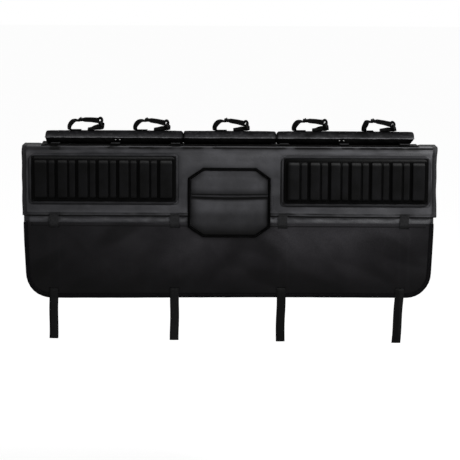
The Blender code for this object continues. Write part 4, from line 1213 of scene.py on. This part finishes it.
for seed, (title, node) in enumerate((("cushionCoverLeft", "cushion_left"),
                                      ("cushionCoverMiddle", "cushion_centre"),
                                      ("cushionCoverRight", "cushion_right")), 1):
    makeCushion(title, node, seed)
print("cushions made")

# Base strip, its folded tabs and two rivets

def baseMove(co):
    if co.y < -0.030:
        co.z += 0.0006 * sin(co.x * 2 * pi / 0.17) * ease(-0.030, -0.037, co.y)
    # its rear corner at the left curls up
    co.z += 0.0050 * fade(-0.655, -0.610, co.x) * ease(-0.01, 0.03, co.y)
    return co


# the base strip takes the near-black cloth, as painted shade
softCopy("baseStrip", "base_strip", shadeBlackCanvas, [(0, 0.015), (1, 0.012)], baseMove,
         across=1)
tabPlaces = []
for number in range(1, 7):
    tabLow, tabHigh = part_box(f"hem_tab_{number}")
    tabPlaces.append((tabLow[0] + tabHigh[0]) / 2)

    def tabTop(co, low=tabLow[2], tall=tabHigh[2] - tabLow[2]):
        return ease(0.50, 0.70, (co.z - low) / tall)

    # painted highlight on each tab's top and painted shade below it
    softCopy(f"hemTab{number}", f"hem_tab_{number}", nylonWebbing,
             [(0, 0.006), (2, 0.0016)], lambda co: co + Vector((0, 0.0008 * sin(co.x * 190), 0)),
             rub=lambda co: 0.28 * tabTop(co), shade=lambda co: 0.97 * (1 - tabTop(co)))

rivetForm = {"radius": 0.0026, "rise": 0.0018, "apart": 0.0145}
bm = bmesh.new()
for x in (-0.3925, 0.391):
    for side in (-1, 1):
        spot = Vector((x + side * rivetForm["apart"] / 2, -0.0150, 0.0318))
        made = bmesh.ops.create_uvsphere(bm, u_segments=12, v_segments=8, radius=1.0)["verts"]
        bmesh.ops.scale(bm, verts=made,
                        vec=(rivetForm["radius"], rivetForm["radius"], rivetForm["rise"]))
        bmesh.ops.translate(bm, verts=made, vec=spot)
addPiece("tabRivets", bm, nickelPlate, [])
print("base strip made")

# Tension straps and the buckles on the bed side

strapForm = {"swing": 0.0040, "curl": 0.0010}
for number in range(1, 5):
    def strapMove(co, number=number):
        drop = dropOf(co)
        middle = strapPlaces[number - 1]
        if co.y < 0:
            co.y -= apronOut(co.x, drop)
            co.z -= apronSink(co.x, drop) * fade(0.545, 0.66, drop)
            below = ease(0.53, 0.69, drop)
            co.y -= strapForm["swing"] * below * (0.8 + 0.2 * (number % 2))
            co.y -= strapForm["curl"] * below * sin((co.x - middle) * 120 + number)
            co.x += 0.0008 * sin(drop * 38 + number * 2) * ease(0.50, 0.56, drop)
        return co

    def strapShade(co, number=number):
        # painted shade along the hanging part's edges and in a line near the ends of the right two
        # straps; the third strap is darker below the apron
        drop = dropOf(co)
        line = strapPlaces[number - 1]
        rim = 0.0 if drop < 0.50 else 0.75 * ease(0.0112, 0.0142, abs(co.x - line))
        tail = 0.7 * exp(-((drop - 0.660 - 0.004 * number) / 0.003) ** 2) if number > 2 else 0.0
        return layered(rim, tail, (0.70 if number == 3 else 0.0) * ease(0.5, 0.53, drop))

    # the short part above the apron is painted lighter, as highlight
    softCopy(f"tensionStrap{number}", f"tension_strap_{number}", nylonWebbing,
             [(2, 0.008), (0, 0.003)], strapMove, shade=strapShade,
             rub=lambda co: 0.30 * fade(0.27, 0.30, dropOf(co)))
    softCopy(f"buckleTab{number}", f"buckle_tab_{number}", nylonWebbing,
             [(2, 0.004), (0, 0.006)])
    x = strapPlaces[number - 1]
    box = [(-0.0115, 0.2375), (0.0115, 0.2375), (0.0115, 0.2415), (-0.0115, 0.2415)]
    sew("strapStitches", [frontPoint(x + a, d, 0.0160) for a, d in box], closed=True)
    buckle = softCopy(f"ladderLock{number}", f"strap_buckle_{number}", glassNylon, [])
    bevelEdges(buckle, 0.0006, 40)
print("tension straps made")

# Bike straps: webbing, moulded hook, wire ring and folded anchor tab

loopForm = {"seat": 0.0627, "middle": 0.016, "half": 0.0125, "thick": 0.0030, "hookUp": 0.0362,
            "hookTall": 1.22, "tabTwist": 0.0052, "hookLong": 0.95,
            "lean": (0.006, -0.001, -0.002, 0.0, 0.001),
            "shift": (-0.003, 0.002, 0.007, 0.007, 0.0095),
            "reach": (0.0, -0.005, -0.005, -0.002, 0.006)}
# rear and front edge of the webbing, x and height from the hook's slot and the seat, and how
# much a station follows the slot
loopLine = [((0.001, 0.0009), (0.001, 0.0009), 1.0), ((-0.02, 0.0008), (-0.012, 0.0008), 1.0),
            ((-0.0372, 0.0008), (-0.0222, 0.0008), 0.8), ((-0.046, 0.0008), (-0.0312, 0.0010), 0.6),
            ((-0.0478, 0.0070), (-0.0336, 0.0070), 0.5), ((-0.0473, 0.0145), (-0.033, 0.0122), 0.5),
            ((-0.0442, 0.0225), (-0.0298, 0.0172), 0.5), ((-0.0393, 0.0295), (-0.0255, 0.0225), 0.6),
            ((-0.0325, 0.0350), (-0.0205, 0.0275), 0.8), ((-0.0235, 0.0373), (-0.016, 0.0304), 1.0),
            ((-0.015, 0.0365), (-0.011, 0.0308), 1.0), ((-0.007, 0.0335), (-0.006, 0.0306), 1.0),
            ((-0.002, 0.0316), (-0.002, 0.0312), 1.0), ((0.0002, 0.0340), (0.0002, 0.0340), 1.0),
            ((0.0002, 0.0372), (0.0002, 0.0372), 1.0), ((0, 0.0447), (0, 0.0447), 1.0)]


def smoothValues(rows, parts):
    line = []
    for i in range(len(rows) - 1):
        p0, p1, p2, p3 = (rows[min(max(i + k, 0), len(rows) - 1)] for k in (-1, 0, 1, 2))
        for s in range(parts):
            t = s / parts
            line.append([0.5 * (2 * b + (c - a) * t + (2 * a - 5 * b + 4 * c - d) * t * t
                                + (3 * b - a - 3 * c + d) * t ** 3)
                         for a, b, c, d in zip(p0, p1, p2, p3)])
    return line + [list(rows[-1])]


def loopMesh(number):
    # the webbing twists, so that its front edge runs inside its rear edge
    f = loopForm
    slotX = anchorPlaces[number - 1] - 0.017 + f["lean"][number - 1] + f["shift"][number - 1]
    extra = f["lean"][number - 1] - 0.006 - 2 * f["reach"][number - 1]
    rows = [(a - extra * (1 - w), b, c - extra * (1 - w), d) for (a, b), (c, d), w in loopLine]
    line = smoothValues(rows, 4)
    grid = []
    for k, (a, b, c, d) in enumerate(line):
        row = []
        for t in (0.0, 0.25, 0.5, 0.75, 1.0):
            sway = 0.0006 * sin(k * 0.23 + number * 2.1) * sin(pi * t)
            row.append(Vector((slotX + a + (c - a) * t + sway,
                               f["middle"] + f["half"] * (1 - 2 * t),
                               f["seat"] + b + (d - b) * t)))
        grid.append(row)
    bm = bmesh.new()
    rings = []
    for k, row in enumerate(grid):
        ahead = grid[min(k + 1, len(grid) - 1)]
        behind = grid[max(k - 1, 0)]
        upper, lower = [], []
        for j, p in enumerate(row):
            along = (ahead[j] - behind[j]).normalized()
            over = (row[min(j + 1, 4)] - row[max(j - 1, 0)]).normalized()
            normal = along.cross(over).normalized()
            slim = 0.72 if j in (0, 4) else 1.0
            upper.append(p + normal * f["thick"] / 2 * slim)
            lower.append(p - normal * f["thick"] / 2 * slim)
        rings.append(upper + lower[::-1])
    skin(bm, rings)
    return bm


for number in range(1, 6):
    shift = loopForm["shift"][number - 1]

    def tabMove(co, shift=shift):
        high = ease(0.0035, 0.0090, co.z - loopForm["seat"])
        co.z += (co.y - 0.016) / 0.0125 * loopForm["tabTwist"] * high
        co.x += shift
        return co

    def ringMove(co, shift=shift):
        co.x += shift - 0.0030
        return co

    def hookMove(co, shift=shift, number=number):
        line = loopForm["seat"] + loopForm["hookUp"] - 0.0009
        co.z = line + (co.z - line) * loopForm["hookTall"]
        slotX = anchorPlaces[number - 1] - 0.017 + loopForm["lean"][number - 1]
        co.x = slotX + (co.x - slotX) * loopForm["hookLong"] + shift
        return co

    addPiece(f"bikeStrap{number}", loopMesh(number), loopWebbing, [f"bike_strap_{number}"],
             across=1)
    softCopy(f"anchorTab{number}", f"anchor_tab_{number}", loopWebbing, [(1, 0.005)],
             tabMove, across=1, swell=0.0013)
    softCopy(f"wireRing{number}", f"strap_ring_{number}", blackChrome, [], ringMove,
             swell=0.0010)
    hook = softCopy(f"stayHook{number}", f"snap_hook_{number}", glassNylon, [], hookMove,
                    swell=0.0021)
    bevelEdges(hook, 0.0009, 38)
print("bike straps made")

sewAll()
print("stitches sewn")

# Floor, light and camera

stageForm = {"floor": -1.35, "size": 60.0, "glow": 0.80, "world": 0.28, "key": 158.0, "fill": 9.0}


def seenDirectly(tree):
    # 1 for camera, glossy and transmission rays
    path = addNode(tree, "ShaderNodeLightPath").outputs
    seen = combine(tree, path["Is Camera Ray"], path["Is Glossy Ray"], "MAXIMUM")
    return combine(tree, seen, path["Is Transmission Ray"], "MAXIMUM")


bm = bmesh.new()
bmesh.ops.create_grid(bm, x_segments=4, y_segments=4, size=stageForm["size"])
for v in bm.verts:
    v.co.z = stageForm["floor"]
floor = newObject("paleFloor", bm)
paper = bpy.data.materials.new("palePaper")
paper.use_nodes = True
tree = paper.node_tree
shader = tree.nodes["Principled BSDF"]
shader.inputs["Base Color"].default_value = toLinear("#cfcfcf")
shader.inputs["Roughness"].default_value = 0.9
shader.inputs["Specular IOR Level"].default_value = 0.0
shader.inputs["Emission Color"].default_value = (1, 1, 1, 1)
tree.links.new(combine(tree, seenDirectly(tree), stageForm["glow"]),
               shader.inputs["Emission Strength"])
floor.data.materials.append(paper)

world = bpy.data.worlds.new("softStudio")
scene.world = world
world.use_nodes = True
tree = world.node_tree
tree.nodes.clear()
level = addNode(tree, "ShaderNodeMapRange",
                {"Value": seenDirectly(tree), "To Min": stageForm["world"], "To Max": 1.0})
sky = addNode(tree, "ShaderNodeBackground",
              {"Color": (1, 1, 1, 1), "Strength": level.outputs["Result"]})
addNode(tree, "ShaderNodeOutputWorld", {"Surface": sky.outputs[0]})


def addLamp(name, place, aim, size, power):
    data = bpy.data.lights.new(name, "AREA")
    data.shape = "RECTANGLE"
    data.size, data.size_y, data.energy = size[0], size[1], power
    lamp = bpy.data.objects.new(name, data)
    lamp.location = place
    lamp.rotation_euler = (Vector(aim) - Vector(place)).to_track_quat("-Z", "Y").to_euler()
    scene.collection.objects.link(lamp)


addLamp("keyLight", (2.0, -1.9, 2.3), (0.1, 0, -0.05), (1.4, 0.9), stageForm["key"])
addLamp("fillLight", (-2.6, -3.4, 0.9), (0, 0, -0.2), (2.0, 2.0), stageForm["fill"])

cameraForm = {"distance": 6.0, "elevation": 8.5, "target": (0.002, -0.057, -0.280), "lens": 134.0,
              "roll": 0.28}
camera = bpy.data.objects.new("camera", bpy.data.cameras.new("camera"))
scene.collection.objects.link(camera)
a = radians(cameraForm["elevation"])
back = Vector((0, -cos(a), sin(a)))
camera.location = Vector(cameraForm["target"]) + back * cameraForm["distance"]
turn = (-back).to_track_quat("-Z", "Y").to_matrix().to_4x4()
turn = turn @ Matrix.Rotation(radians(cameraForm["roll"]), 4, "Z")
camera.rotation_euler = turn.to_euler()
camera.data.lens = cameraForm["lens"]
camera.data.clip_end = 200
scene.camera = camera
scene.view_settings.view_transform = "Standard"
print("stage made")
